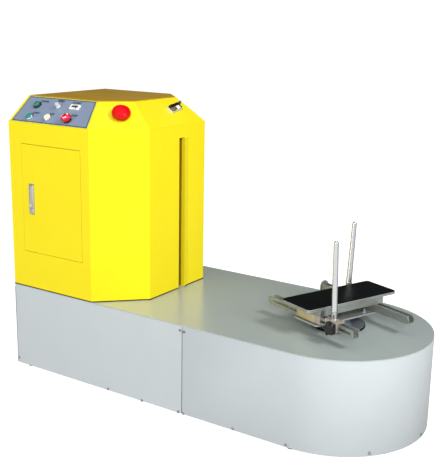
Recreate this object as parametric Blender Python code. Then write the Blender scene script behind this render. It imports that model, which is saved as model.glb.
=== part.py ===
"""Turntable film wrapper: a film tower on a long plinth whose round end carries a turning tray.

Metres, +Z up, +X from the tower to the turntable, origin on the floor under the middle of the plinth.
"""

import math

import bmesh
import bpy
import numpy as np
from mathutils import Matrix, Vector

# Fits
TOUCH = 0.0003
RUN = 0.0005
SIDES = 32
ARC_STEPS = 28

# Plinth
BASE_LENGTH = 1.690
BASE_WIDTH = 0.700
DECK_TOP = 0.360
DECK_SHEET = 0.004
SKIRT_SHEET = 0.002
SKIRT_LIFT = 0.006
SEAM_FROM_END = 0.876
SEAM_GAP = 0.0016
FRAME_TUBE = 0.040
FRAME_LIFT = 0.030
BEAM_SPACING = 0.160
NOSE_POST_SETBACK = 0.004
FOOT_RADIUS = 0.018
FOOT_CLEARANCE = 0.002
FOOT_PAD = 0.010
FOOT_STUD_RADIUS = 0.006
FOOT_FROM_END = 0.065

# Tower
TOWER_LENGTH = 0.595
TOWER_CHAMFER = 0.165
TOWER_TOP = 1.142
HOOD_RISE = 0.097
HOOD_INSET = 0.115
TOWER_SHEET = 0.0025
WALL_FLANGE = 0.020
COVER_SHEET = 0.0025
COVER_LIP = 0.004
COVER_FLANGE = 0.018
SLOT_CENTRE_Y = 0.0246
SLOT_WIDTH = 0.034
SLOT_FROM_WALL_TOP = 0.054
JAMB_DEPTH = 0.012
SLOT_LIP_PROUD = 0.006
SLOT_LIP_WIDTH = 0.027

# Film door and its lock
DOOR_FROM_END = 0.068
DOOR_WIDTH = 0.317
DOOR_FROM_DECK = 0.156
DOOR_FROM_WALL_TOP = 0.086
DOOR_GAP = 0.0015
DOOR_SHEET = 0.002
DOOR_DEPTH = 0.015
HINGE_FROM_EDGE = 0.030
HINGE_DEPTH = 0.008
HINGE_PIN_RADIUS = 0.0025
HINGE_PIN_REACH = 0.009
HINGE_BLOCK_WIDTH = 0.028
HINGE_BLOCK_DEPTH = 0.022
HINGE_BLOCK_HEIGHT = 0.028
LOCK_FROM_DOOR_EDGE = 0.036
LOCK_WIDTH = 0.028
LOCK_HEIGHT = 0.125
LOCK_PROUD = 0.003
LOCK_DEPTH = 0.018
LOCK_POCKET = 0.012
LOCK_RIM = 0.003
LEVER_THICKNESS = 0.009
LEVER_PIVOT_DROP = 0.0075
LEVER_NOSE = 0.005
LOCK_BUTTON_HEIGHT = 0.020
LOCK_BUTTON_THICKNESS = 0.007

# Control panel and hood fittings, placed by distance along a slope and up it
PANEL_LEFT = 0.016
PANEL_MARGIN = 0.004
PANEL_SHEET = 0.0015
LAMP_AT = (0.094, 0.096)
SPEED_AT = (0.208, 0.098)
COUNTER_AT = (0.293, 0.103)
START_AT = (0.101, 0.030)
JOG_AT = (0.197, 0.034)
STOP_AT = (0.305, 0.032)
PALM_STOP_AT = (0.129, 0.070)
SENSOR_AT = (0.050, 0.082)
BUTTON_STEM_RADIUS = 0.011
BUTTON_STEM_LENGTH = 0.028
BEZEL_RADIUS = 0.0175
BEZEL_HEIGHT = 0.008
BEZEL_FLOOR = 0.002
CAP_RADIUS = 0.0137
CAP_STEM_RADIUS = 0.009
CAP_HEIGHT = 0.005
BUTTON_TRAVEL = 0.004
LAMP_LENS_RADIUS = 0.0135
LAMP_HEIGHT = 0.016
LAMP_RIM = 0.006
STOP_RADIUS = 0.020
STOP_HEIGHT = 0.030
STOP_TRAVEL = 0.006
PALM_RADIUS = 0.0365
PALM_HEIGHT = 0.0375
PALM_NECK = 0.012
KNOB_STEM_RADIUS = 0.003
KNOB_STEM_LENGTH = 0.012
SPEED_RADIUS = 0.0105
SPEED_HEIGHT = 0.020
COUNTER_WIDTH = 0.048
COUNTER_HEIGHT = 0.024
COUNTER_RIM = 0.0015
COUNTER_PROUD = 0.006
COUNTER_DEPTH = 0.045
COUNTER_WINDOW = 0.0015
SENSOR_LENGTH = 0.086
SENSOR_WIDTH = 0.046
SENSOR_TRAY_HEIGHT = 0.014
SENSOR_TRAY_SHEET = 0.003
SENSOR_PROUD = 0.006

# Turntable drive
SPINDLE_RADIUS = 0.025
SPINDLE_HOLE_GAP = 0.0025
SPINDLE_PROUD = 0.011
HUB_RADIUS = 0.097
HUB_LIFT = 0.004
HUB_THICKNESS = 0.006
BOSS_RADIUS = 0.045
BEARING_RADIUS = 0.055
BEARING_DEPTH = 0.048
BEARING_FLANGE = 0.012
BEARING_FLANGE_LENGTH = 0.200
BEARING_FLANGE_WIDTH = 0.140
PULLEY_DROP = 0.0144
PULLEY_WIDTH = 0.016
DRIVEN_RADIUS = 0.090
DRIVER_RADIUS = 0.030
BELT_WIDTH = 0.012
BELT_THICKNESS = 0.005
MOTOR_RADIUS = 0.060
MOTOR_PULLEY_GAP = 0.0247
MOTOR_SHAFT_RADIUS = 0.009
ELECTRICS_LENGTH = 0.260
ELECTRICS_WIDTH = 0.190
ELECTRICS_HEIGHT = 0.180
ELECTRICS_FROM_END = 0.110

# Turntable carrier, in its own frame: along the rails, across them, up from the deck
REST_ANGLE = math.radians(-21.5)
CROSS_PLATE_LIFT = 0.042
CROSS_PLATE_SHEET = 0.006
CROSS_PLATE_WIDTH = 0.130
CROSS_PLATE_OVERHANG = 0.015
CROSS_PLATE_CORNER = 0.012
RAIL_LENGTH = 0.470
RAIL_SPACING = 0.270
RAIL_WIDTH = 0.030
RAIL_HEIGHT = 0.031
RAIL_WALL = 0.003
RAIL_NOSE = 0.025
RAIL_TAIL = 0.013
PLATFORM_WIDTH = 0.140
PLATFORM_HEIGHT = 0.035
PLATFORM_SHEET = 0.002
SADDLE_SHEET = 0.005
SADDLE_BACK = 0.058
SADDLE_FRONT = 0.042
SADDLE_LIFT = 0.002
TRAY_LENGTH = 0.430
TRAY_WIDTH = 0.156
TRAY_LIP = 0.009
TRAY_SHEET = 0.002
TRAY_CORNER = 0.014
MAT_THICKNESS = 0.003
MAT_MARGIN = 0.0015
POST_RADIUS = 0.011
POST_TOP_RADIUS = 0.0085
NEAR_POST_LENGTH = 0.290
FAR_POST_LENGTH = 0.279
NEAR_POST_SPLAY = math.radians(1.6)
FAR_POST_SPLAY = math.radians(3.3)
NEAR_POST_GAP = 0.030
FAR_POST_GAP = 0.008
POST_FOOT_SHEET = 0.006
POST_FOOT_BEHIND = 0.022
POST_FOOT_AHEAD = 0.036
STUD_RADIUS = 0.004
STUD_AHEAD = 0.020
STUD_LENGTH = 0.022
TEE_THICKNESS = 0.005
TEE_LENGTH = 0.020
TEE_HEIGHT = 0.018
STAR_RADIUS = 0.0225
STAR_LOBE = 0.0035
STAR_LOBES = 5
STAR_THICKNESS = 0.020
STAR_HUB_RADIUS = 0.012
STAR_HUB_LENGTH = 0.007

# Film carriage, placed from the tower's end wall, its right wall and the deck
ROD_RADIUS = 0.0125
ROD_FROM_BACK = 0.115
ROD_SPACING = 0.220
ROD_MIDDLE_FROM_END = 0.310
SCREW_RADIUS = 0.010
SCREW_HOLE_GAP = 0.002
LIFT_MOTOR_WIDTH = 0.070
LIFT_MOTOR_HEIGHT = 0.120
MAST_HEAD_DROP = 0.011
MAST_HEAD_SHEET = 0.012
MAST_HEAD_MARGIN = 0.030
CARRIAGE_LIFT = 0.040
CARRIAGE_SHEET = 0.010
CARRIAGE_HEADROOM = 0.0064
CARRIAGE_WALL_GAP = 0.035
CARRIAGE_BACK_MARGIN = 0.030
CARRIAGE_FRONT_MARGIN = 0.010
WEB_SHEET = 0.008
ROLL_FROM_END = 0.235
ROLL_Y = -0.060
ROLL_RADIUS = 0.110
ROLL_HEIGHT = 0.300
CORE_RADIUS = 0.038
MANDREL_FLANGE_RADIUS = 0.055
MANDREL_FLANGE = 0.008
MANDREL_PROUD = 0.010
IDLER_FROM_WALL = 0.195
IDLER_Y = 0.085
IDLER_RADIUS = 0.025
JOURNAL_RADIUS = 0.008
JOURNAL_LENGTH = 0.006
DANCER_FROM_WALL = 0.125
DANCER_Y = 0.110
DANCER_AHEAD = 0.055
DANCER_ASIDE = 0.075
DANCER_PIVOT_RADIUS = 0.012
DANCER_ARM_SHEET = 0.008
DANCER_ARM_INSET = 0.014
DANCER_ARM_HALF_WIDTH = 0.011
DANCER_ROLLER_RADIUS = 0.020

# Places worked out from the sizes above
TOWER_END = -BASE_LENGTH / 2
TOWER_RIGHT = TOWER_END + TOWER_LENGTH
FRONT = -BASE_WIDTH / 2
BACK = BASE_WIDTH / 2
SEAM_X = TOWER_END + SEAM_FROM_END
TURN_X = BASE_LENGTH / 2 - BASE_WIDTH / 2
UNDER_DECK = DECK_TOP - DECK_SHEET - TOUCH
FRAME_INSET = SKIRT_SHEET + TOUCH
FRAME_HALF = BASE_WIDTH / 2 - FRAME_INSET
FRAME_INSIDE = FRAME_HALF - FRAME_TUBE
FRAME_END = TOWER_END + FRAME_INSET
TUBE_TOP = FRAME_LIFT + FRAME_TUBE
BEARING_UNDER = UNDER_DECK - BEARING_FLANGE - BEARING_DEPTH
PULLEY_TOP = BEARING_UNDER - PULLEY_DROP
PULLEY_LOW = PULLEY_TOP - PULLEY_WIDTH
WALL_TOP = TOWER_TOP - HOOD_RISE
HOOD_TOP = TOWER_TOP - COVER_SHEET - TOUCH
SLOT_TOP = WALL_TOP - SLOT_FROM_WALL_TOP
SLOPE_RISE = HOOD_TOP - WALL_TOP
SLOPE_LENGTH = math.hypot(HOOD_INSET, SLOPE_RISE)
SLOPE_COS = HOOD_INSET / SLOPE_LENGTH
SLOPE_SIN = SLOPE_RISE / SLOPE_LENGTH
PANEL_FRONT = PANEL_SHEET + 2 * TOUCH
RAIL_BOTTOM = CROSS_PLATE_LIFT + CROSS_PLATE_SHEET + TOUCH
RAIL_TOP = RAIL_BOTTOM + RAIL_HEIGHT
RAIL_MIDDLE = RAIL_BOTTOM + RAIL_HEIGHT / 2
RAIL_FACE = RAIL_SPACING / 2 + RAIL_WIDTH / 2
RAIL_MOUTH = 2 * (STUD_RADIUS + RUN)
NEAR_POST_ALONG = PLATFORM_WIDTH / 2 + NEAR_POST_GAP + POST_FOOT_BEHIND
FAR_POST_ALONG = PLATFORM_WIDTH / 2 + FAR_POST_GAP + POST_FOOT_BEHIND
CARRIAGE_BOTTOM = DECK_TOP + CARRIAGE_LIFT
CARRIAGE_FLOOR = CARRIAGE_BOTTOM + CARRIAGE_SHEET
ROLL_BOTTOM = CARRIAGE_FLOOR + MANDREL_FLANGE + 2 * TOUCH
CARRIAGE_CEILING = ROLL_BOTTOM + ROLL_HEIGHT + MANDREL_PROUD + CARRIAGE_HEADROOM
ROD_MIDDLE_X = TOWER_END + ROD_MIDDLE_FROM_END
ROD_Y = BACK - ROD_FROM_BACK
ROD_X = (ROD_MIDDLE_X - ROD_SPACING / 2, ROD_MIDDLE_X + ROD_SPACING / 2)
MAST_HEAD_TOP = WALL_TOP - MAST_HEAD_DROP
MAST_HEAD_UNDER = MAST_HEAD_TOP - MAST_HEAD_SHEET
ROLL_X = TOWER_END + ROLL_FROM_END
IDLER_X = TOWER_RIGHT - IDLER_FROM_WALL
DANCER_X = TOWER_RIGHT - DANCER_FROM_WALL
DOOR_LEFT = TOWER_END + DOOR_FROM_END
DOOR_RIGHT = DOOR_LEFT + DOOR_WIDTH
DOOR_BOTTOM = DECK_TOP + DOOR_FROM_DECK
DOOR_TOP = WALL_TOP - DOOR_FROM_WALL_TOP
HINGE_X = DOOR_RIGHT - HINGE_FROM_EDGE
HINGE_Y = FRONT + HINGE_DEPTH
LOCK_LEFT = DOOR_LEFT + LOCK_FROM_DOOR_EDGE
LOCK_RIGHT = LOCK_LEFT + LOCK_WIDTH
LOCK_BOTTOM = (DOOR_BOTTOM + DOOR_TOP - LOCK_HEIGHT) / 2
LOCK_TOP = LOCK_BOTTOM + LOCK_HEIGHT

# Colour, roughness and metallic value of each finish
FINISHES = {
    "yellow_paint": ((0.93, 0.74, 0.02), 0.32, 0.0),
    "brown_cover": ((0.30, 0.19, 0.05), 0.25, 0.0),
    "grey_paint": ((0.60, 0.63, 0.65), 0.45, 0.0),
    "deck_paint": ((0.33, 0.35, 0.34), 0.30, 0.0),
    "panel_overlay": ((0.27, 0.33, 0.46), 0.45, 0.0),
    "zinc_steel": ((0.62, 0.62, 0.58), 0.35, 1.0),
    "bright_steel": ((0.80, 0.80, 0.82), 0.16, 1.0),
    "frame_steel": ((0.10, 0.11, 0.12), 0.55, 0.0),
    "black_rubber": ((0.012, 0.013, 0.014), 0.28, 0.0),
    "black_plastic": ((0.015, 0.015, 0.016), 0.38, 0.0),
    "red_plastic": ((0.80, 0.015, 0.02), 0.28, 0.0),
    "green_plastic": ((0.01, 0.20, 0.12), 0.25, 0.0),
    "white_plastic": ((0.80, 0.79, 0.70), 0.35, 0.0),
    "stretch_film": ((0.78, 0.83, 0.86), 0.18, 0.0),
    "aluminium": ((0.72, 0.73, 0.74), 0.35, 1.0),
}


def clear_scene():
    for item in list(bpy.data.objects):
        bpy.data.objects.remove(item)


def finish_for(name, finish):
    """Principled material of one piece."""
    colour, roughness, metallic = FINISHES[finish]
    material = bpy.data.materials.new(name + "_" + finish)
    material.use_nodes = True
    shader = material.node_tree.nodes["Principled BSDF"]
    shader.inputs["Base Color"].default_value = (*colour, 1.0)
    shader.inputs["Roughness"].default_value = roughness
    shader.inputs["Metallic"].default_value = metallic
    return material


def frame_at(name, matrix, parent=None):
    """Empty that carries pieces in a frame of their own."""
    frame = bpy.data.objects.new(name, None)
    bpy.context.scene.collection.objects.link(frame)
    frame.parent = parent
    frame.matrix_basis = matrix
    return frame


def mesh_object(name, shape, origin):
    """Object whose mesh is moved so that its origin is the given point of its frame."""
    bmesh.ops.translate(shape, verts=shape.verts, vec=-Vector(origin))
    bmesh.ops.recalc_face_normals(shape, faces=shape.faces)
    mesh = bpy.data.meshes.new(name)
    shape.to_mesh(mesh)
    shape.free()
    piece = bpy.data.objects.new(name, mesh)
    bpy.context.scene.collection.objects.link(piece)
    return piece


def add_piece(name, shape, finish, origin=(0, 0, 0), frame=None):
    piece = mesh_object(name, shape, origin)
    piece.data.shade_smooth()
    piece.data.set_sharp_from_angle(angle=math.radians(35))
    piece.data.materials.append(finish_for(name, finish))
    piece.parent = frame
    piece.location = origin
    return piece


def combine(piece, shape, operation):
    """Boolean with a hidden helper, given in the piece's frame."""
    helper = mesh_object(f"{piece.name}_{operation.lower()}_{len(piece.modifiers)}", shape, piece.location)
    helper.parent = piece
    helper.hide_render = True
    helper.display_type = "WIRE"
    modifier = piece.modifiers.new(helper.name, "BOOLEAN")
    modifier.operation = operation
    modifier.object = helper


def cut(piece, shape):
    combine(piece, shape, "DIFFERENCE")


def fuse(piece, shape):
    combine(piece, shape, "UNION")


def prism(outline, low, high, along="z"):
    """Closed solid over a flat outline, from low to high along one axis."""
    place = {
        "z": lambda a, b, h: (a, b, h),
        "x": lambda a, b, h: (h, a, b),
        "y": lambda a, b, h: (a, h, b),
    }[along]
    shape = bmesh.new()
    bottom = [shape.verts.new(place(a, b, low)) for a, b in outline]
    top = [shape.verts.new(place(a, b, high)) for a, b in outline]
    shape.faces.new(bottom)
    shape.faces.new(top)
    for here in range(len(outline)):
        after = (here + 1) % len(outline)
        shape.faces.new((bottom[here], bottom[after], top[after], top[here]))
    return shape


def block(low, high):
    corners = [(low[0], low[1]), (high[0], low[1]), (high[0], high[1]), (low[0], high[1])]
    return prism(corners, low[2], high[2])


def circle(radius, centre=(0, 0), sides=SIDES, start=0.0, sweep=2 * math.pi):
    """Points on an arc; a full turn leaves out the repeated last point."""
    count = sides if abs(sweep) >= 2 * math.pi else sides + 1
    angles = start + sweep * np.arange(count) / sides
    return [(centre[0] + radius * math.cos(a), centre[1] + radius * math.sin(a)) for a in angles]


def rounded(half_x, half_y, radius, centre=(0, 0), steps=4):
    """Rectangle with round corners."""
    points = []
    for quarter, (sx, sy) in enumerate(((1, 1), (-1, 1), (-1, -1), (1, -1))):
        middle = (centre[0] + sx * (half_x - radius), centre[1] + sy * (half_y - radius))
        points += circle(radius, middle, steps, quarter * math.pi / 2, math.pi / 2)
    return points


def turned(profile, sides=SIDES, ring=False, along="z", centre=(0, 0, 0)):
    """Solid of revolution. Its profile (radius, height) runs from axis to axis, or round a ring."""
    place = {
        "z": lambda a, b, h: (centre[0] + a, centre[1] + b, centre[2] + h),
        "y": lambda a, b, h: (centre[0] + a, centre[1] + h, centre[2] + b),
    }[along]
    shape = bmesh.new()
    rows = []
    for radius, height in profile:
        points = circle(radius, sides=sides) if radius > 0 else [(0, 0)]
        rows.append([shape.verts.new(place(a, b, height)) for a, b in points])
    pairs = list(zip(rows, rows[1:] + rows[:1]))
    for lower, upper in pairs if ring else pairs[:-1]:
        for here in range(sides):
            after = (here + 1) % sides
            corners = [lower[here % len(lower)], lower[after % len(lower)]]
            corners += [upper[after % len(upper)], upper[here % len(upper)]]
            shape.faces.new(list(dict.fromkeys(corners)))
    return shape


def cylinder(radius, low, high, centre=(0, 0), sides=SIDES):
    return prism(circle(radius, centre, sides), low, high)


def folded(path, section):
    """Sheet section (inward distance, height) carried along a plan path, mitred at its corners."""
    points = np.array(path)
    runs = np.diff(points, axis=0)
    runs /= np.linalg.norm(runs, axis=1)[:, None]
    inward = np.stack([-runs[:, 1], runs[:, 0]], axis=1)
    before = np.concatenate([inward[:1], inward])
    after = np.concatenate([inward, inward[-1:]])
    mitre = (before + after) / (1 + (before * after).sum(axis=1))[:, None]
    shape = bmesh.new()
    rows = []
    for (x, y), (mx, my) in zip(points, mitre):
        rows.append([shape.verts.new((x + d * mx, y + d * my, h)) for d, h in section])
    for here, after_row in zip(rows, rows[1:]):
        for spot in range(len(section)):
            step = (spot + 1) % len(section)
            shape.faces.new((here[spot], here[step], after_row[step], after_row[spot]))
    shape.faces.new(rows[0])
    shape.faces.new(rows[-1])
    return shape


def channel(low, high, sheet, flange):
    """Section of a sheet with a flange turned in along its lower and upper edge."""
    outer = [(0, low), (0, high), (flange, high), (flange, high - sheet)]
    return outer + [(sheet, high - sheet), (sheet, low + sheet), (flange, low + sheet), (flange, low)]


def plinth_path(start, inset=0.0):
    """Plan path from start on the front, round the half-round end, to start on the back."""
    half = BASE_WIDTH / 2 - inset
    arc = circle(half, (TURN_X, 0), ARC_STEPS, -math.pi / 2, math.pi)
    return [(start, -half)] + arc + [(start, half)]


def tower_path(start, inset=0.0):
    """Plan path of the tower's front, chamfers, right side and back, moved in by inset."""
    corner = inset * math.tan(math.pi / 8)
    front, back, right = FRONT + inset, BACK - inset, TOWER_RIGHT - inset
    bend = TOWER_RIGHT - TOWER_CHAMFER - corner
    side = BASE_WIDTH / 2 - TOWER_CHAMFER - corner
    return [(start, front), (bend, front), (right, -side), (right, side), (bend, back), (start, back)]


def build_plinth():
    sheet = prism(plinth_path(TOWER_END), DECK_TOP - DECK_SHEET, DECK_TOP)
    deck = add_piece("deck_plate", sheet, "deck_paint")
    cut(deck, cylinder(SPINDLE_RADIUS + SPINDLE_HOLE_GAP, 0, 2 * DECK_TOP, (TURN_X, 0)))
    cut(deck, cylinder(SCREW_RADIUS + SCREW_HOLE_GAP, 0, 2 * DECK_TOP, (ROD_MIDDLE_X, ROD_Y)))
    section = [(0, SKIRT_LIFT), (0, UNDER_DECK), (SKIRT_SHEET, UNDER_DECK), (SKIRT_SHEET, SKIRT_LIFT)]
    seam_left = SEAM_X - SEAM_GAP / 2
    add_piece("front_skirt", folded([(FRAME_END, FRONT), (seam_left, FRONT)], section), "grey_paint")
    add_piece("rear_skirt", folded([(seam_left, BACK), (FRAME_END, BACK)], section), "grey_paint")
    add_piece("round_skirt", folded(plinth_path(SEAM_X + SEAM_GAP / 2), section), "grey_paint")
    end_sheet = block((TOWER_END, FRONT, SKIRT_LIFT), (TOWER_END + SKIRT_SHEET, BACK, UNDER_DECK))
    add_piece("end_skirt", end_sheet, "grey_paint")
    build_frame()
    foot_x = {"left": TOWER_END + FOOT_FROM_END, "right": TURN_X}
    foot_row = FRAME_HALF - FOOT_RADIUS - FOOT_CLEARANCE
    foot_y = {"front": -foot_row, "rear": foot_row}
    stud_top = FRAME_LIFT - TOUCH
    for side, x in foot_x.items():
        for row, y in foot_y.items():
            profile = [(0, 0), (FOOT_RADIUS, 0), (FOOT_RADIUS, FOOT_PAD), (FOOT_STUD_RADIUS, FOOT_PAD)]
            profile += [(FOOT_STUD_RADIUS, stud_top), (0, stud_top)]
            add_piece(f"foot_{row}_{side}", turned(profile, centre=(x, y, 0)), "black_rubber")


def build_frame():
    """Welded tube frame, cut out of its own outline: a flat ladder with a round nose, and posts on it."""
    whole = prism(plinth_path(FRAME_END, FRAME_INSET), FRAME_LIFT, UNDER_DECK)
    frame = add_piece("base_frame", whole, "frame_steel")
    half_tube = FRAME_TUBE / 2
    reach = BEAM_SPACING / 2 + half_tube
    above = 2 * DECK_TOP
    bays = [
        (FRAME_END + FRAME_TUBE, SEAM_X - half_tube),
        (SEAM_X + half_tube, TURN_X - reach),
        (TURN_X - reach + FRAME_TUBE, TURN_X + reach - FRAME_TUBE),
    ]
    for low, high in bays:
        cut(frame, block((low, -FRAME_INSIDE, 0), (high, FRAME_INSIDE, above)))
        cut(frame, block((low, FRONT, TUBE_TOP), (high, BACK, above)))
    swing = math.acos(reach / FRAME_INSIDE)
    cut(frame, prism(circle(FRAME_INSIDE, (TURN_X, 0), ARC_STEPS, -swing, 2 * swing), 0, above))
    cut(frame, block((TURN_X + reach, FRONT, TUBE_TOP), (BASE_LENGTH, BACK, above)))
    cut(frame, block((2 * TOWER_END, -FRAME_INSIDE, TUBE_TOP), (BASE_LENGTH, FRAME_INSIDE, above)))
    nose_in = TURN_X + FRAME_INSIDE + NOSE_POST_SETBACK
    nose_out = TURN_X + FRAME_HALF - NOSE_POST_SETBACK
    fuse(frame, block((nose_in, -half_tube, FRAME_LIFT + half_tube), (nose_out, half_tube, UNDER_DECK)))


def build_tower():
    start = TOWER_END + TOWER_SHEET + TOUCH
    section = channel(DECK_TOP + TOUCH, WALL_TOP, TOWER_SHEET, WALL_FLANGE)
    shell = add_piece("tower_shell", folded(tower_path(start), section), "yellow_paint")
    slot_low = SLOT_CENTRE_Y - SLOT_WIDTH / 2
    slot_high = SLOT_CENTRE_Y + SLOT_WIDTH / 2
    inside = TOWER_RIGHT - TOWER_SHEET - JAMB_DEPTH
    slot_end = (TOWER_RIGHT + WALL_FLANGE, slot_high, SLOT_TOP)
    cut(shell, block((TOWER_RIGHT - 2 * WALL_FLANGE, slot_low, 0), slot_end))
    for low in (slot_low - TOWER_SHEET, slot_high):
        jamb_top = (TOWER_RIGHT - TOWER_SHEET / 2, low + TOWER_SHEET, SLOT_TOP)
        fuse(shell, block((inside, low, DECK_TOP + TOUCH), jamb_top))

    # Lip bent out along the far side of the slot, that turns the film
    root = TOWER_RIGHT - TOWER_SHEET / 2
    run_in = SLOT_LIP_WIDTH * (1 + TOWER_SHEET / 2 / SLOT_LIP_PROUD)
    lip = [(root, slot_high), (TOWER_RIGHT + SLOT_LIP_PROUD, slot_high), (root, slot_high + run_in)]
    fuse(shell, prism(lip, DECK_TOP + TOUCH, SLOT_TOP))
    opening_low = (DOOR_LEFT - DOOR_GAP, FRONT - WALL_FLANGE, DOOR_BOTTOM - DOOR_GAP)
    opening_high = (DOOR_RIGHT + DOOR_GAP, FRONT + WALL_FLANGE, DOOR_TOP + DOOR_GAP)
    cut(shell, block(opening_low, opening_high))

    # Flat end wall that closes the shell and the hood
    gable = [(FRONT, DECK_TOP + TOUCH), (BACK, DECK_TOP + TOUCH), (BACK, WALL_TOP)]
    gable += [(BACK - HOOD_INSET, HOOD_TOP), (FRONT + HOOD_INSET, HOOD_TOP), (FRONT, WALL_TOP)]
    add_piece("left_panel", prism(gable, TOWER_END, TOWER_END + TOWER_SHEET, "x"), "yellow_paint")

    # Hood of one sloped sheet with a flange turned in under the top cover
    foot = WALL_TOP + TOUCH
    across = TOWER_SHEET / SLOPE_SIN
    under = HOOD_TOP - TOWER_SHEET
    seat = HOOD_INSET + COVER_FLANGE
    slope_in = across + (under - foot) * HOOD_INSET / SLOPE_RISE
    hood_section = [(0, foot), (HOOD_INSET, HOOD_TOP), (seat, HOOD_TOP)]
    hood_section += [(seat, under), (slope_in, under), (across, foot)]
    hood = add_piece("tower_hood", folded(tower_path(start), hood_section), "yellow_paint")
    cover = tower_path(start + COVER_LIP, HOOD_INSET + COVER_LIP)
    add_piece("top_cover", prism(cover, HOOD_TOP + TOUCH, TOWER_TOP), "brown_cover")
    return hood


def build_door():
    """Film door: a folded pan on two pins, with its lock."""
    origin = (HINGE_X, HINGE_Y, DOOR_BOTTOM)
    pan = block((DOOR_LEFT, FRONT, DOOR_BOTTOM), (DOOR_RIGHT, FRONT + DOOR_DEPTH, DOOR_TOP))
    door = add_piece("front_door", pan, "yellow_paint", origin)
    hollow_low = (DOOR_LEFT + DOOR_SHEET, FRONT + DOOR_SHEET, DOOR_BOTTOM + DOOR_SHEET)
    hollow_high = (DOOR_RIGHT - DOOR_SHEET, FRONT + 2 * DOOR_DEPTH, DOOR_TOP - DOOR_SHEET)
    cut(door, block(hollow_low, hollow_high))
    lock_back = FRONT + LOCK_DEPTH
    window_low = (LOCK_LEFT - TOUCH, FRONT - DOOR_DEPTH, LOCK_BOTTOM - TOUCH)
    cut(door, block(window_low, (LOCK_RIGHT + TOUCH, lock_back, LOCK_TOP + TOUCH)))
    pin_hole = HINGE_PIN_RADIUS + RUN
    cut(door, cylinder(pin_hole, 0, 2 * WALL_TOP, (HINGE_X, HINGE_Y), 16))

    for name, edge, way in (("upper", DOOR_TOP, 1), ("lower", DOOR_BOTTOM, -1)):
        near = edge + way * (DOOR_GAP + TOUCH)
        far = near + way * HINGE_BLOCK_HEIGHT
        wall = FRONT + TOWER_SHEET + TOUCH
        left = HINGE_X - HINGE_BLOCK_WIDTH / 2
        low = (left, wall, min(near, far))
        high = (left + HINGE_BLOCK_WIDTH, wall + HINGE_BLOCK_DEPTH, max(near, far))
        hinge = add_piece(f"door_hinge_{name}", block(low, high), "zinc_steel")
        tip = edge - way * HINGE_PIN_REACH
        root = near + way * HINGE_BLOCK_HEIGHT / 2
        fuse(hinge, cylinder(HINGE_PIN_RADIUS, min(tip, root), max(tip, root), (HINGE_X, HINGE_Y), 16))

    face = FRONT - LOCK_PROUD
    housing = block((LOCK_LEFT, face, LOCK_BOTTOM), (LOCK_RIGHT, lock_back, LOCK_TOP))
    lock = add_piece("lock_housing", housing, "bright_steel", origin)
    pocket_low = (LOCK_LEFT + LOCK_RIM, face - LOCK_RIM, LOCK_BOTTOM + LOCK_RIM)
    pocket_high = (LOCK_RIGHT - LOCK_RIM, face + LOCK_POCKET, LOCK_TOP - LOCK_RIM)
    cut(lock, block(pocket_low, pocket_high))

    side_left = LOCK_LEFT + LOCK_RIM + RUN
    side_right = LOCK_RIGHT - LOCK_RIM - RUN
    button_low = LOCK_BOTTOM + LOCK_RIM + RUN
    button_top = button_low + LOCK_BUTTON_HEIGHT
    button = block((side_left, face, button_low), (side_right, face + LOCK_BUTTON_THICKNESS, button_top))
    button_middle = ((side_left + side_right) / 2, face, (button_low + button_top) / 2)
    add_piece("lock_button", button, "bright_steel", button_middle)
    pivot = LOCK_TOP - LOCK_RIM - LEVER_PIVOT_DROP
    lever_low = (side_left, face, button_top + RUN)
    lever = block(lever_low, (side_right, face + LEVER_THICKNESS, pivot + LEVER_NOSE))
    lever_pivot = ((side_left + side_right) / 2, face + LEVER_THICKNESS / 2, pivot)
    add_piece("lock_lever", lever, "bright_steel", lever_pivot)


def slope_frame(name, outward, origin):
    """Frame on a hood slope: x level along it, y up it, z out of it."""
    out = Vector((outward[0], outward[1], 0)).normalized()
    up = out * -SLOPE_COS + Vector((0, 0, SLOPE_SIN))
    normal = out * SLOPE_SIN + Vector((0, 0, SLOPE_COS))
    level = up.cross(normal)
    matrix = Matrix((level, up, normal)).transposed().to_4x4()
    matrix.translation = origin
    return frame_at(name, matrix)


def slope_hole(hood, frame, shape):
    """Hole through the hood, given in a slope's frame."""
    bmesh.ops.transform(shape, matrix=frame.matrix_basis, verts=shape.verts)
    cut(hood, shape)


def push_button(name, place, finish, frame):
    """Panel button: a fixed bezel with a bored stem, and a cap that slides in it."""
    spot = (*place, 0)
    floor = PANEL_FRONT + BEZEL_FLOOR
    rim = PANEL_FRONT + BEZEL_HEIGHT
    bore = CAP_STEM_RADIUS + RUN
    well = CAP_RADIUS + RUN
    bezel = [(BUTTON_STEM_RADIUS, -BUTTON_STEM_LENGTH), (BUTTON_STEM_RADIUS, PANEL_FRONT)]
    bezel += [(BEZEL_RADIUS, PANEL_FRONT), (BEZEL_RADIUS, rim), (well, rim), (well, floor)]
    bezel += [(bore, floor), (bore, -BUTTON_STEM_LENGTH)]
    add_piece(name + "_bezel", turned(bezel, 24, ring=True, centre=spot), "bright_steel", spot, frame)
    head = floor + BUTTON_TRAVEL + RUN
    cap = [(0, -BUTTON_STEM_LENGTH), (CAP_STEM_RADIUS, -BUTTON_STEM_LENGTH), (CAP_STEM_RADIUS, head)]
    cap += [(CAP_RADIUS, head), (CAP_RADIUS, head + CAP_HEIGHT), (0, head + CAP_HEIGHT)]
    add_piece(name + "_cap", turned(cap, 24, centre=spot), finish, spot, frame)


def mushroom(radius, neck, rest, low, high):
    """Profile of a stop button: a neck through the panel under a domed head."""
    drop = high - low
    profile = [(0, -BUTTON_STEM_LENGTH), (neck, -BUTTON_STEM_LENGTH), (neck, rest + low)]
    profile += [(radius - drop / 4, rest + low), (radius, rest + low + drop / 5)]
    profile.append((radius, rest + low + drop / 2))
    for angle in np.radians((25, 50, 70)):
        profile.append((radius * math.cos(angle), rest + low + drop * (0.5 + 0.5 * math.sin(angle))))
    return profile + [(0, rest + high)]


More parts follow.
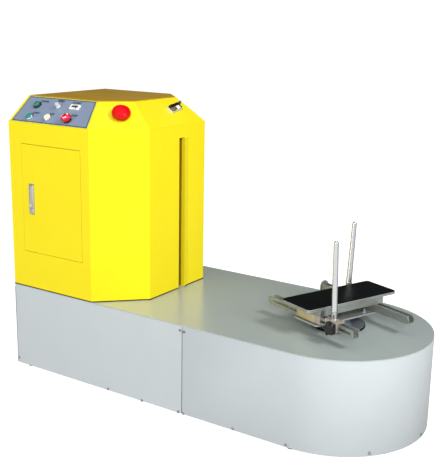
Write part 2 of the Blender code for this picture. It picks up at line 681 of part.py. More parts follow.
def build_controls(hood):
    front = slope_frame("front_slope", (0, -1), (TOWER_END, FRONT, WALL_TOP + TOUCH))
    corner_x = TOWER_RIGHT - TOWER_CHAMFER
    chamfer = slope_frame("chamfer_slope", (1, -1), (corner_x, FRONT, WALL_TOP + TOUCH))
    right = slope_frame("right_slope", (1, 0), (TOWER_RIGHT, 0, WALL_TOP + TOUCH))

    # Panel plate over the whole front slope
    low = PANEL_MARGIN
    high = SLOPE_LENGTH - PANEL_MARGIN
    bend = TOWER_LENGTH - TOWER_CHAMFER - 2 * PANEL_MARGIN
    lean = SLOPE_COS * math.tan(math.pi / 8)
    outline = [(PANEL_LEFT, low), (bend - low * lean, low), (bend - high * lean, high), (PANEL_LEFT, high)]
    plate = prism(outline, TOUCH, TOUCH + PANEL_SHEET)
    panel = add_piece("control_panel", plate, "panel_overlay", frame=front)

    stem_hole = BUTTON_STEM_RADIUS + TOUCH
    round_holes = [(place, stem_hole) for place in (LAMP_AT, START_AT, JOG_AT, STOP_AT)]
    round_holes.append((SPEED_AT, KNOB_STEM_RADIUS + RUN))
    reach = BUTTON_STEM_LENGTH
    for place, radius in round_holes:
        cut(panel, cylinder(radius, -reach, reach, place, 24))
        slope_hole(hood, front, cylinder(radius, -reach, reach, place, 24))
    counter_half = (COUNTER_WIDTH / 2 - COUNTER_RIM, COUNTER_HEIGHT / 2 - COUNTER_RIM)
    gap_half = (counter_half[0] + TOUCH, counter_half[1] + TOUCH)
    u, v = COUNTER_AT
    hole_low = (u - gap_half[0], v - gap_half[1], -reach)
    hole_high = (u + gap_half[0], v + gap_half[1], reach)
    cut(panel, block(hole_low, hole_high))
    slope_hole(hood, front, block(hole_low, hole_high))
    slope_hole(hood, chamfer, cylinder(stem_hole, -reach, reach, PALM_STOP_AT, 24))

    # Power lamp
    spot = (*LAMP_AT, 0)
    rim = PANEL_FRONT + LAMP_RIM
    crown = PANEL_FRONT + LAMP_HEIGHT
    shoulder = (rim + crown) / 2
    lamp = [(0, -BUTTON_STEM_LENGTH), (BUTTON_STEM_RADIUS, -BUTTON_STEM_LENGTH)]
    lamp += [(BUTTON_STEM_RADIUS, PANEL_FRONT), (BEZEL_RADIUS, PANEL_FRONT)]
    lamp += [(BEZEL_RADIUS, rim), (LAMP_LENS_RADIUS, rim)]
    lamp += [(LAMP_LENS_RADIUS, shoulder), (LAMP_LENS_RADIUS * 0.7, crown - 0.1 * LAMP_HEIGHT), (0, crown)]
    add_piece("power_lamp", turned(lamp, 24, centre=spot), "green_plastic", spot, front)

    # Speed knob
    spot = (*SPEED_AT, 0)
    seat = PANEL_FRONT + RUN
    top = seat + SPEED_HEIGHT
    knob = [(0, -KNOB_STEM_LENGTH), (KNOB_STEM_RADIUS, -KNOB_STEM_LENGTH), (KNOB_STEM_RADIUS, seat)]
    knob += [(SPEED_RADIUS, seat), (SPEED_RADIUS, seat + SPEED_HEIGHT / 5)]
    knob += [(SPEED_RADIUS * 0.8, seat + SPEED_HEIGHT / 4), (SPEED_RADIUS * 0.72, top), (0, top)]
    add_piece("speed_knob", turned(knob, 24, centre=spot), "white_plastic", spot, front)

    # Counter: a bezel on the panel and a body behind it, with a sunk window
    half = (COUNTER_WIDTH / 2, COUNTER_HEIGHT / 2)
    face = PANEL_FRONT + COUNTER_PROUD
    bezel = block((u - half[0], v - half[1], PANEL_FRONT), (u + half[0], v + half[1], face))
    counter = add_piece("counter", bezel, "white_plastic", (u, v, 0), front)
    body_low = (u - counter_half[0], v - counter_half[1], -COUNTER_DEPTH)
    body_high = (u + counter_half[0], v + counter_half[1], PANEL_FRONT + COUNTER_PROUD / 2)
    fuse(counter, block(body_low, body_high))
    window_low = (u - half[0] * 0.7, v - half[1] * 0.15, face - COUNTER_WINDOW)
    cut(counter, block(window_low, (u + half[0] * 0.7, v + half[1] * 0.65, face + COUNTER_PROUD)))

    push_button("start", START_AT, "green_plastic", front)
    push_button("jog", JOG_AT, "white_plastic", front)

    # Stop heads: one on the panel, one large palm button on the chamfer's slope
    neck = BUTTON_STEM_RADIUS + TOUCH - RUN
    spot = (*STOP_AT, 0)
    stop_low = STOP_TRAVEL + STOP_HEIGHT / 6
    stop = mushroom(STOP_RADIUS, neck, PANEL_FRONT, stop_low, STOP_HEIGHT)
    add_piece("panel_stop_head", turned(stop, centre=spot), "red_plastic", spot, front)
    spot = (*PALM_STOP_AT, 0)
    palm = mushroom(PALM_RADIUS, neck, 0, PALM_NECK, PALM_HEIGHT)
    add_piece("palm_stop_head", turned(palm, centre=spot), "red_plastic", spot, chamfer)

    # Sensor in a shallow bright tray above the film slot
    u, v = SENSOR_AT
    half = (SENSOR_LENGTH / 2, SENSOR_WIDTH / 2)
    tray = block((u - half[0], v - half[1], TOUCH), (u + half[0], v + half[1], TOUCH + SENSOR_TRAY_HEIGHT))
    sensor_tray = add_piece("sensor_tray", tray, "bright_steel", frame=right)
    inner = (half[0] - SENSOR_TRAY_SHEET, half[1] - SENSOR_TRAY_SHEET)
    floor = TOUCH + SENSOR_TRAY_SHEET
    rim = TOUCH + SENSOR_TRAY_HEIGHT
    cut(sensor_tray, block((u - inner[0], v - inner[1], floor), (u + inner[0], v + inner[1], 2 * rim)))
    eye_low = (u - inner[0] + TOUCH, v - inner[1] + TOUCH, floor + TOUCH)
    eye_high = (u + inner[0] - TOUCH, v + inner[1] - TOUCH, rim + SENSOR_PROUD)
    add_piece("height_sensor", block(eye_low, eye_high), "black_plastic", frame=right)


def belt_loop(extra):
    """Plan points of the belt round both pulleys, at a distance outside their rims."""
    span = TURN_X - SEAM_X
    wrap = math.pi - math.acos((DRIVEN_RADIUS - DRIVER_RADIUS) / span)
    big = circle(DRIVEN_RADIUS + extra, (TURN_X, 0), 48, -wrap, 2 * wrap)
    small = circle(DRIVER_RADIUS + extra, (SEAM_X, 0), 24, wrap, 2 * (math.pi - wrap))
    return big + small


def build_drive():
    hub_low = DECK_TOP + HUB_LIFT
    hub_top = hub_low + HUB_THICKNESS
    boss_top = DECK_TOP + CROSS_PLATE_LIFT - TOUCH
    axis = (TURN_X, 0, 0)
    end = PULLEY_LOW - SPINDLE_PROUD
    spindle = [(0, end), (SPINDLE_RADIUS, end), (SPINDLE_RADIUS, hub_low), (HUB_RADIUS, hub_low)]
    spindle += [(HUB_RADIUS, hub_top), (BOSS_RADIUS, hub_top), (BOSS_RADIUS, boss_top), (0, boss_top)]
    add_piece("spindle", turned(spindle, 48, centre=axis), "zinc_steel", axis)

    bore = SPINDLE_RADIUS + RUN
    plate_under = UNDER_DECK - BEARING_FLANGE
    half = (BEARING_FLANGE_LENGTH / 2, BEARING_FLANGE_WIDTH / 2)
    flange = block((TURN_X - half[0], -half[1], plate_under), (TURN_X + half[0], half[1], UNDER_DECK))
    bearing = add_piece("bearing_housing", flange, "frame_steel")
    fuse(bearing, cylinder(BEARING_RADIUS, BEARING_UNDER, plate_under + BEARING_FLANGE / 2, (TURN_X, 0)))
    cut(bearing, cylinder(bore, 0, DECK_TOP, (TURN_X, 0)))

    driven = [(SPINDLE_RADIUS + TOUCH, PULLEY_LOW), (DRIVEN_RADIUS, PULLEY_LOW)]
    driven += [(DRIVEN_RADIUS, PULLEY_TOP), (SPINDLE_RADIUS + TOUCH, PULLEY_TOP)]
    add_piece("driven_pulley", turned(driven, 48, ring=True, centre=axis), "aluminium", axis)
    motor_axis = (SEAM_X, 0, 0)
    driver = [(MOTOR_SHAFT_RADIUS + TOUCH, PULLEY_LOW), (DRIVER_RADIUS, PULLEY_LOW)]
    driver += [(DRIVER_RADIUS, PULLEY_TOP), (MOTOR_SHAFT_RADIUS + TOUCH, PULLEY_TOP)]
    add_piece("motor_pulley", turned(driver, 24, ring=True, centre=motor_axis), "aluminium", motor_axis)
    motor_low = TUBE_TOP + TOUCH
    motor_top = PULLEY_LOW - MOTOR_PULLEY_GAP
    motor = [(0, motor_low), (MOTOR_RADIUS, motor_low), (MOTOR_RADIUS, motor_top)]
    motor += [(MOTOR_SHAFT_RADIUS, motor_top), (MOTOR_SHAFT_RADIUS, PULLEY_TOP), (0, PULLEY_TOP)]
    add_piece("gear_motor", turned(motor, 24, centre=motor_axis), "frame_steel", motor_axis)

    belt_low = PULLEY_LOW + (PULLEY_WIDTH - BELT_WIDTH) / 2
    outside = prism(belt_loop(RUN + BELT_THICKNESS), belt_low, belt_low + BELT_WIDTH)
    belt = add_piece("drive_belt", outside, "black_rubber")
    cut(belt, prism(belt_loop(RUN), 0, DECK_TOP))

    low = (TOWER_END + ELECTRICS_FROM_END, -FRAME_HALF, TUBE_TOP + TOUCH)
    high = (low[0] + ELECTRICS_LENGTH, low[1] + ELECTRICS_WIDTH, low[2] + ELECTRICS_HEIGHT)
    add_piece("electrics_box", block(low, high), "grey_paint")


def build_carrier():
    turn = Matrix.Translation((TURN_X, 0, DECK_TOP)) @ Matrix.Rotation(REST_ANGLE, 4, "Z")
    carrier = frame_at("carrier", turn)
    plate_top = CROSS_PLATE_LIFT + CROSS_PLATE_SHEET
    plate_half = RAIL_FACE + CROSS_PLATE_OVERHANG
    outline = rounded(CROSS_PLATE_WIDTH / 2, plate_half, CROSS_PLATE_CORNER)
    add_piece("cross_plate", prism(outline, CROSS_PLATE_LIFT, plate_top), "zinc_steel", frame=carrier)
    for name, facing in (("near", math.pi), ("far", 0.0)):
        side = frame_at(name + "_side", Matrix.Rotation(facing, 4, "Z"), carrier)
        build_rail(name, side)
        near = name == "near"
        along = NEAR_POST_ALONG if near else FAR_POST_ALONG
        length = NEAR_POST_LENGTH if near else FAR_POST_LENGTH
        build_post(name, along, length, NEAR_POST_SPLAY if near else FAR_POST_SPLAY, side)

    # Platform box open below, with a saddle over each rail
    low = RAIL_TOP + TOUCH
    top = low + PLATFORM_HEIGHT
    half = (PLATFORM_WIDTH / 2, RAIL_FACE + TOUCH + SADDLE_SHEET)
    platform = block((-half[0], -half[1], low), (half[0], half[1], top))
    box = add_piece("platform_box", platform, "zinc_steel", frame=carrier)
    inner = (half[0] - PLATFORM_SHEET, half[1] - SADDLE_SHEET)
    cut(box, block((-inner[0], -inner[1], 0), (inner[0], inner[1], top - PLATFORM_SHEET)))
    saddle_low = RAIL_BOTTOM + SADDLE_LIFT
    for way in (-1, 1):
        ends = sorted((way * SADDLE_BACK, -way * SADDLE_FRONT))
        faces = sorted((way * half[1], way * (half[1] - SADDLE_SHEET)))
        fuse(box, block((ends[0], faces[0], saddle_low), (ends[1], faces[1], low + PLATFORM_SHEET)))

    # Tray with a lip turned down all round, and its rubber mat
    tray_low = top + TOUCH
    tray_top = tray_low + TRAY_SHEET
    tray_half = (TRAY_WIDTH / 2, TRAY_LENGTH / 2)
    tray = prism(rounded(*tray_half, TRAY_CORNER), tray_top - TRAY_LIP, tray_top)
    pan = add_piece("tray", tray, "bright_steel", frame=carrier)
    hollow = rounded(tray_half[0] - TRAY_SHEET, tray_half[1] - TRAY_SHEET, TRAY_CORNER - TRAY_SHEET)
    cut(pan, prism(hollow, 0, tray_low))
    mat_low = tray_top + TOUCH
    mat = rounded(tray_half[0] - MAT_MARGIN, tray_half[1] - MAT_MARGIN, TRAY_CORNER - MAT_MARGIN)
    add_piece("rubber_mat", prism(mat, mat_low, mat_low + MAT_THICKNESS), "black_rubber", frame=carrier)


def build_rail(name, side):
    """Channel open above, with round ends at its nose. In its side's frame its mouth faces +Y and its nose +X."""
    nose = RAIL_LENGTH / 2
    radius = RAIL_HEIGHT / 2
    tip = circle(radius, (nose - radius, RAIL_MIDDLE), 12, -math.pi / 2, math.pi)
    outline = [(-nose, RAIL_BOTTOM)] + tip + [(-nose, RAIL_TOP)]
    middle = RAIL_SPACING / 2
    bar = prism(outline, middle - RAIL_WIDTH / 2, RAIL_FACE, "y")
    rail = add_piece(name + "_rail", bar, "zinc_steel", frame=side)
    hollow_low = (-2 * nose, middle - RAIL_WIDTH / 2 + RAIL_WALL, RAIL_BOTTOM + RAIL_WALL)
    cut(rail, block(hollow_low, (2 * nose, RAIL_FACE - RAIL_WALL, RAIL_TOP + RAIL_WALL)))
    mouth_low = (RAIL_TAIL - nose, middle, RAIL_MIDDLE - RAIL_MOUTH / 2)
    cut(rail, block(mouth_low, (nose - RAIL_NOSE, RAIL_FACE + RAIL_WALL, RAIL_MIDDLE + RAIL_MOUTH / 2)))


def build_post(name, along, length, splay, side):
    """Post leaning out from an angle foot on the rail, with a tee bolt in the rail's mouth and a star knob."""
    spot = -along
    middle = RAIL_SPACING / 2
    origin = (spot, middle, RAIL_MIDDLE)
    seat = RAIL_TOP + TOUCH
    root = seat + POST_FOOT_SHEET / 2
    dome = seat + length - POST_TOP_RADIUS
    profile = [(0, root), (POST_RADIUS, root), (POST_TOP_RADIUS, dome)]
    for angle in np.radians((30, 55, 75)):
        profile.append((POST_TOP_RADIUS * math.cos(angle), dome + POST_TOP_RADIUS * math.sin(angle)))
    profile.append((0, dome + POST_TOP_RADIUS))
    shaft = turned(profile, 24, centre=(spot, middle, 0))
    lean = Matrix.Rotation(-splay, 3, "X")
    bmesh.ops.rotate(shaft, cent=(spot, middle, seat), matrix=lean, verts=shaft.verts)
    post = add_piece(name + "_post", shaft, "bright_steel", origin, side)
    ahead = spot - POST_FOOT_AHEAD
    behind = spot + POST_FOOT_BEHIND
    foot_top = seat + POST_FOOT_SHEET
    face = RAIL_FACE + TOUCH
    fuse(post, block((ahead, middle - RAIL_WIDTH / 2, seat), (behind, face + POST_FOOT_SHEET, foot_top)))
    leg_top = foot_top - POST_FOOT_SHEET / 2
    fuse(post, block((ahead, face, RAIL_BOTTOM), (behind, face + POST_FOOT_SHEET, leg_top)))

    # Tee bolt: head behind the rail's lips, stud out through the mouth and the foot
    bolt_x = spot - STUD_AHEAD
    head_out = RAIL_FACE - RAIL_WALL - RUN
    head_in = head_out - TEE_THICKNESS
    stud_end = face + POST_FOOT_SHEET + STUD_LENGTH
    stud = [(0, head_in), (STUD_RADIUS, head_in), (STUD_RADIUS, stud_end), (0, stud_end)]
    fuse(post, turned(stud, 16, along="y", centre=(bolt_x, 0, RAIL_MIDDLE)))
    head_low = (bolt_x - TEE_LENGTH / 2, head_in, RAIL_MIDDLE - TEE_HEIGHT / 2)
    fuse(post, block(head_low, (bolt_x + TEE_LENGTH / 2, head_out, RAIL_MIDDLE + TEE_HEIGHT / 2)))

    # Star knob: lobes as a wave on its rim, a hub towards the foot and a blind bore on the stud
    hub = face + POST_FOOT_SHEET + TOUCH
    lobes = hub + STAR_HUB_LENGTH
    angles = np.linspace(0, 2 * math.pi, 12 * STAR_LOBES, endpoint=False)
    rims = STAR_RADIUS + STAR_LOBE * np.cos(STAR_LOBES * angles)
    star = [(bolt_x + r * math.cos(a), RAIL_MIDDLE + r * math.sin(a)) for r, a in zip(rims, angles)]
    knob_shape = prism(star, lobes, lobes + STAR_THICKNESS, "y")
    knob = add_piece(name + "_knob", knob_shape, "black_plastic", (bolt_x, face, RAIL_MIDDLE), side)
    collar_end = lobes + STAR_HUB_LENGTH / 2
    collar = [(0, hub), (STAR_HUB_RADIUS, hub), (STAR_HUB_RADIUS, collar_end), (0, collar_end)]
    fuse(knob, turned(collar, 24, along="y", centre=(bolt_x, 0, RAIL_MIDDLE)))
    bore = STUD_RADIUS + RUN
    well = [(0, hub - TOUCH), (bore, hub - TOUCH), (bore, stud_end + RUN), (0, stud_end + RUN)]
    cut(knob, turned(well, 16, along="y", centre=(bolt_x, 0, RAIL_MIDDLE)))


def clipped(left, front, right, back, gap):
    """Plan of a plate in the tower, its back right corner cut along the chamfer if it would reach it."""
    limit = TOWER_RIGHT + BASE_WIDTH / 2 - TOWER_CHAMFER - gap * math.sqrt(2)
    if right + back <= limit:
        return [(left, front), (right, front), (right, back), (left, back)]
    return [(left, front), (right, front), (right, limit - right), (limit - back, back), (left, back)]


def carriage_plate(left, front):
    right = TOWER_RIGHT - CARRIAGE_WALL_GAP
    return clipped(left, front, right, ROD_Y + CARRIAGE_BACK_MARGIN, CARRIAGE_WALL_GAP)


def build_film_carriage():
    """Guide rods and lift screw in the tower, and the carriage that climbs them with the film roll."""
    for name, x in zip(("left", "right"), ROD_X):
        add_piece(
            f"guide_rod_{name}",
            cylinder(ROD_RADIUS, DECK_TOP + TOUCH, MAST_HEAD_UNDER - TOUCH, (x, ROD_Y), 24),
            "bright_steel",
        )
    screw_axis = (ROD_MIDDLE_X, ROD_Y, 0)
    screw = cylinder(SCREW_RADIUS, UNDER_DECK, MAST_HEAD_UNDER - TOUCH, screw_axis[:2], 24)
    add_piece("lift_screw", screw, "bright_steel", screw_axis)
    half = LIFT_MOTOR_WIDTH / 2
    motor_top = UNDER_DECK - TOUCH
    motor_low = (ROD_MIDDLE_X - half, ROD_Y - half, motor_top - LIFT_MOTOR_HEIGHT)
    add_piece("lift_motor", block(motor_low, (ROD_MIDDLE_X + half, ROD_Y + half, motor_top)), "frame_steel")
    wall = TOWER_SHEET + TOUCH
    head_ends = (ROD_X[0] - MAST_HEAD_MARGIN, ROD_X[1] + MAST_HEAD_MARGIN)
    head = clipped(head_ends[0], ROD_Y - MAST_HEAD_MARGIN, head_ends[1], BACK - wall, wall)
    add_piece("mast_head", prism(head, MAST_HEAD_UNDER, MAST_HEAD_TOP), "frame_steel")

    # Carriage frame: floor and ceiling plates joined by a web in front of the rods
    left = ROLL_X - ROLL_RADIUS - CARRIAGE_FRONT_MARGIN
    front = ROLL_Y - ROLL_RADIUS - CARRIAGE_FRONT_MARGIN
    floor_plate = prism(carriage_plate(left, front), CARRIAGE_BOTTOM, CARRIAGE_FLOOR)
    carriage_origin = (ROD_MIDDLE_X, ROD_Y, CARRIAGE_BOTTOM)
    carriage = add_piece("carriage_frame", floor_plate, "frame_steel", carriage_origin)
    ceiling_top = CARRIAGE_CEILING + CARRIAGE_SHEET
    web_left = ROD_X[0] - MAST_HEAD_MARGIN
    web_back = ROD_Y - MAST_HEAD_MARGIN
    ceiling_front = min(IDLER_Y, DANCER_Y - DANCER_ASIDE) - 2 * IDLER_RADIUS
    fuse(carriage, prism(carriage_plate(web_left, ceiling_front), CARRIAGE_CEILING, ceiling_top))
    web_low = (web_left, web_back - WEB_SHEET, CARRIAGE_BOTTOM + CARRIAGE_SHEET / 2)
    web_high = (ROD_X[1] + MAST_HEAD_MARGIN, web_back, CARRIAGE_CEILING + CARRIAGE_SHEET / 2)
    fuse(carriage, block(web_low, web_high))
    for x, radius in ((ROD_X[0], ROD_RADIUS), (ROD_X[1], ROD_RADIUS), (ROD_MIDDLE_X, SCREW_RADIUS)):
        cut(carriage, cylinder(radius + RUN, 0, 2 * WALL_TOP, (x, ROD_Y), 24))

    # Mandrel and film roll
    axis = (ROLL_X, ROLL_Y, CARRIAGE_FLOOR)
    seat = CARRIAGE_FLOOR + TOUCH
    flange_top = seat + MANDREL_FLANGE
    roll_top = ROLL_BOTTOM + ROLL_HEIGHT
    shaft = CORE_RADIUS - TOUCH
    mandrel = [(0, seat), (MANDREL_FLANGE_RADIUS, seat), (MANDREL_FLANGE_RADIUS, flange_top)]
    mandrel += [(shaft, flange_top), (shaft, roll_top), (0, roll_top + MANDREL_PROUD)]
    add_piece("film_mandrel", turned(mandrel, centre=(ROLL_X, ROLL_Y, 0)), "aluminium", axis)
    roll = [(CORE_RADIUS, ROLL_BOTTOM), (ROLL_RADIUS, ROLL_BOTTOM)]
    roll += [(ROLL_RADIUS, roll_top), (CORE_RADIUS, roll_top)]
    add_piece("film_roll", turned(roll, ring=True, centre=(ROLL_X, ROLL_Y, 0)), "stretch_film", axis)

    # Idler roller between floor and ceiling
    low = CARRIAGE_FLOOR + TOUCH
    high = CARRIAGE_CEILING - TOUCH
    foot = low + JOURNAL_LENGTH
    neck = high - JOURNAL_LENGTH
    roller = [(0, low), (JOURNAL_RADIUS, low), (JOURNAL_RADIUS, foot), (IDLER_RADIUS, foot)]
    roller += [(IDLER_RADIUS, neck), (JOURNAL_RADIUS, neck), (JOURNAL_RADIUS, high), (0, high)]
    idler_axis = (IDLER_X, IDLER_Y, 0)
    add_piece("idler_roller", turned(roller, 24, centre=idler_axis), "black_rubber", idler_axis)

    # Dancer: a pivot tube with two arms, and a roller between their ends
    pivot = (DANCER_X, DANCER_Y, 0)
    tube = cylinder(DANCER_PIVOT_RADIUS, low, high, pivot[:2], 24)
    arm = add_piece("dancer_arm", tube, "zinc_steel", pivot)
    end = (DANCER_X + DANCER_AHEAD, DANCER_Y - DANCER_ASIDE)
    bearing = math.atan2(-DANCER_ASIDE, DANCER_AHEAD)
    outline = circle(DANCER_ARM_HALF_WIDTH, end, 10, bearing - math.pi / 2, math.pi)
    outline += circle(DANCER_ARM_HALF_WIDTH, pivot[:2], 10, bearing + math.pi / 2, math.pi)
    lower_arm = low + DANCER_ARM_INSET
    upper_arm = high - DANCER_ARM_INSET - DANCER_ARM_SHEET
    for start in (lower_arm, upper_arm):
        fuse(arm, prism(outline, start, start + DANCER_ARM_SHEET))
    roller_axis = (*end, 0)
    roller_low = lower_arm + DANCER_ARM_SHEET + TOUCH
    roller_high = upper_arm - TOUCH
    sleeve = cylinder(DANCER_ROLLER_RADIUS, roller_low, roller_high, end, 24)
    add_piece("dancer_roller", sleeve, "aluminium", roller_axis)


def main():
    clear_scene()
    build_plinth()
    hood = build_tower()
    build_door()
    build_controls(hood)
    build_drive()
    build_carrier()
    build_film_carriage()


main()
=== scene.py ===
import math

import bmesh
import bpy
import numpy as np
from mathutils import Matrix, Vector


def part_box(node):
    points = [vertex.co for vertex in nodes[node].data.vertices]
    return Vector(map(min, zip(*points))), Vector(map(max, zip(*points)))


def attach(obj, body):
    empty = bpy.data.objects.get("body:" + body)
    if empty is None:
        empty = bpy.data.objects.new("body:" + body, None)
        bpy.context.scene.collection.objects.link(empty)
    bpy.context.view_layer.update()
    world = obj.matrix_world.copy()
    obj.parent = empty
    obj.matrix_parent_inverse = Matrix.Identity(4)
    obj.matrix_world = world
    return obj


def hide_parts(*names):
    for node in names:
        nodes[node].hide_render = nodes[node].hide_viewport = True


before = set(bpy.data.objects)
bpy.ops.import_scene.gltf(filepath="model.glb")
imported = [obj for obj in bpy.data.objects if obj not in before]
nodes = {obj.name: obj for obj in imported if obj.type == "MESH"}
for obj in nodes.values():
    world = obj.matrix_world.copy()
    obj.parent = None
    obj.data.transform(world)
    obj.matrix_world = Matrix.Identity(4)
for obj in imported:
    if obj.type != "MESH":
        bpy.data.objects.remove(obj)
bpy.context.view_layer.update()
print("frame loaded:", len(nodes), "nodes")

# main sizes of the machine, in metres
machine = {
    "towerEnd": -0.845,
    "towerRight": -0.250,
    "front": -0.350,
    "chamfer": 0.165,
    "deck": 0.360,
    "wallTop": 1.045,
    "hoodInset": 0.115,
    "hoodTop": 1.1392,
    "turn": (0.495, 0.0),
    "restAngle": math.radians(-21.5),
    "seam": 0.031,
    "gap": 0.0003,
}


# arrays and meshes


def fromScreen(red, green, blue):
    # screen value 0 to 255 to linear light
    value = np.array([red, green, blue], float) / 255
    light = np.where(value <= 0.04045, value / 12.92, ((value + 0.055) / 1.055) ** 2.4)
    return (*light.tolist(), 1.0)


def gridFaces(rows, columns, wrapRows=False, wrapColumns=False):
    # quads between each grid point and its three neighbours, wrapped where asked
    i, j = np.meshgrid(np.arange(rows - (not wrapRows)), np.arange(columns - (not wrapColumns)), indexing="ij")
    nextI, nextJ = (i + 1) % rows, (j + 1) % columns
    quads = np.stack([i * columns + j, nextI * columns + j, nextI * columns + nextJ, i * columns + nextJ], -1)
    return quads.reshape(-1, 4).tolist()


def gridShell(points, wrapRows=False, wrapColumns=False, caps=False):
    # surface over a grid of points (rows, columns, 3), with the first and last row closed if asked
    rows, columns = points.shape[:2]
    faces = gridFaces(rows, columns, wrapRows, wrapColumns)
    if caps:
        faces += [list(range(columns)), list(range((rows - 1) * columns, rows * columns))]
    return points.reshape(-1, 3), faces


def roundedLine(points, cut, steps=4, closed=False):
    # each corner P becomes the curve (1-t)^2 S + 2t(1-t) P + t^2 E, S and E lying `cut` away along its two sides
    corner = np.asarray(points, float)
    before, after = np.roll(corner, 1, axis=0), np.roll(corner, -1, axis=0)
    toBefore, toAfter = before - corner, after - corner
    lengthBefore = np.linalg.norm(toBefore, axis=1)
    lengthAfter = np.linalg.norm(toAfter, axis=1)
    reach = np.minimum(np.broadcast_to(cut, len(corner)), 0.49 * np.minimum(lengthBefore, lengthAfter))
    if not closed:
        reach = reach * np.r_[0, np.ones(len(corner) - 2), 0]
    start = corner + toBefore * (reach / lengthBefore)[:, None]
    end = corner + toAfter * (reach / lengthAfter)[:, None]
    t = np.linspace(0, 1, steps + 1)[None, :, None]
    curve = (1 - t) ** 2 * start[:, None] + 2 * t * (1 - t) * corner[:, None] + t**2 * end[:, None]
    line = curve.reshape(-1, corner.shape[1])
    keep = np.r_[True, np.linalg.norm(np.diff(line, axis=0), axis=1) > 1e-7]
    return line[keep]


def lathe(profile, sides=48, loop=False):
    # (r, h) of the profile turned round the z axis: (r cos a, r sin a, h)
    profile = np.asarray(profile, float)
    a = np.linspace(0, 2 * np.pi, sides, endpoint=False)
    r, h = profile[:, 0][:, None], profile[:, 1][:, None]
    points = np.stack([r * np.cos(a), r * np.sin(a), h + 0 * a], -1)
    return gridShell(points, wrapRows=loop, wrapColumns=True)


def insetLine(outline, inset):
    # closed outline moved inwards by `inset` along its mitred normals
    outline = np.asarray(outline, float)
    run = np.roll(outline, -1, axis=0) - outline
    run = run / np.linalg.norm(run, axis=1)[:, None]
    normal = np.stack([-run[:, 1], run[:, 0]], -1)
    last = np.roll(normal, 1, axis=0)
    mitre = (normal + last) / (1 + (normal * last).sum(1))[:, None]
    return outline + inset * mitre


def stack(outline, steps, loop=False):
    # copies of a plan outline, each moved in and lifted by one (inset, height) of the steps
    rows = [np.c_[insetLine(outline, inset), np.full(len(outline), height)] for inset, height in steps]
    return gridShell(np.array(rows), wrapRows=loop, wrapColumns=True, caps=not loop)


def slab(outline, low, high, edge, steps=3):
    # plate over an outline whose upper and lower edges are quarter rounds of radius `edge`
    a = np.linspace(0, np.pi / 2, steps + 1)
    inset, rise = edge * (1 - np.sin(a)), edge * (1 - np.cos(a))
    lower = np.c_[inset, low + rise]
    upper = np.c_[inset[::-1], high - rise[::-1]]
    return stack(outline, np.r_[lower, upper])


def rectangle(halfX, halfY, corner=0.0, centre=(0, 0), steps=5):
    outline = np.array([(1, 1), (-1, 1), (-1, -1), (1, -1)]) * (halfX, halfY) + centre
    return roundedLine(outline, corner, steps, closed=True) if corner else outline


def disc(radius, sides=48, centre=(0, 0)):
    a = np.linspace(0, 2 * np.pi, sides, endpoint=False)
    return np.stack([centre[0] + radius * np.cos(a), centre[1] + radius * np.sin(a)], -1)


def folded(path, section):
    # section (inward, height) carried along a plan path and mitred at its corners
    path, section = np.asarray(path, float), np.asarray(section, float)
    run = np.diff(path, axis=0)
    run = run / np.linalg.norm(run, axis=1)[:, None]
    inward = np.stack([-run[:, 1], run[:, 0]], -1)
    first, second = np.r_[inward[:1], inward], np.r_[inward, inward[-1:]]
    mitre = (first + second) / (1 + (first * second).sum(1))[:, None]
    flat = path[:, None, :] + section[None, :, :1] * mitre[:, None, :]
    height = np.broadcast_to(section[None, :, 1:], (*flat.shape[:2], 1))
    return gridShell(np.concatenate([flat, height], -1), wrapColumns=True, caps=True)


def frameOf(origin, across, up, out):
    matrix = np.eye(4)
    matrix[:3, 0], matrix[:3, 1], matrix[:3, 2], matrix[:3, 3] = across, up, out, origin
    return matrix


def moved(shell, matrix):
    points, faces = shell
    return points @ matrix[:3, :3].T + matrix[:3, 3], faces


def lifted(shell, offset):
    return shell[0] + np.asarray(offset, float), shell[1]


def joined(shells):
    # several shells as one, their face numbers shifted by the points before them
    starts = np.cumsum([0] + [len(points) for points, _ in shells[:-1]])
    points = np.concatenate([points for points, _ in shells])
    faces = [[start + corner for corner in face] for start, (_, shape) in zip(starts, shells) for face in shape]
    return points, faces


def plateWithHole(half, hole, low, high):
    # rectangle r = min(hx / |cos a|, hy / |sin a|) and round hole, joined on both faces
    corner = math.atan2(half[1], half[0])
    corners = [corner, np.pi - corner, np.pi + corner, 2 * np.pi - corner]
    a = np.sort(np.r_[np.linspace(0, 2 * np.pi, 96, endpoint=False), corners])
    across, along = np.abs(np.cos(a)) + 1e-9, np.abs(np.sin(a)) + 1e-9
    outer = np.minimum(half[0] / across, half[1] / along)
    rows = [(outer, low), (outer, high), (hole, high), (hole, low)]
    points = np.array([np.stack([r * np.cos(a), r * np.sin(a), h + 0 * a], -1) for r, h in rows])
    return gridShell(points, wrapRows=True, wrapColumns=True)


def hexHead(radius, low, height):
    # six-sided head with its upper edge cut back
    a = np.radians(np.arange(6) * 60 + 30)
    outline = radius * np.stack([np.cos(a), np.sin(a)], -1)
    return stack(outline, [(0, low), (0, low + 0.85 * height), (0.12 * radius, low + height)])


def threadShell(radius, depth, pitch, low, high, sides=32):
    # r = R - depth * (1 - crest), the crest climbing one pitch a turn with sloped flanks
    rows = int((high - low) / pitch * 8)
    z = np.linspace(low, high, rows)[:, None]
    a = np.linspace(0, 2 * np.pi, sides, endpoint=False)[None, :]
    phase = np.mod(z / pitch - a / (2 * np.pi), 1.0)
    crest = np.clip((0.30 - np.abs(phase - 0.5)) / 0.10 + 0.5, 0, 1)
    r = radius - depth * (1 - crest)
    points = np.stack([r * np.cos(a), r * np.sin(a), z + 0 * a], -1)
    return gridShell(points, wrapColumns=True, caps=True)


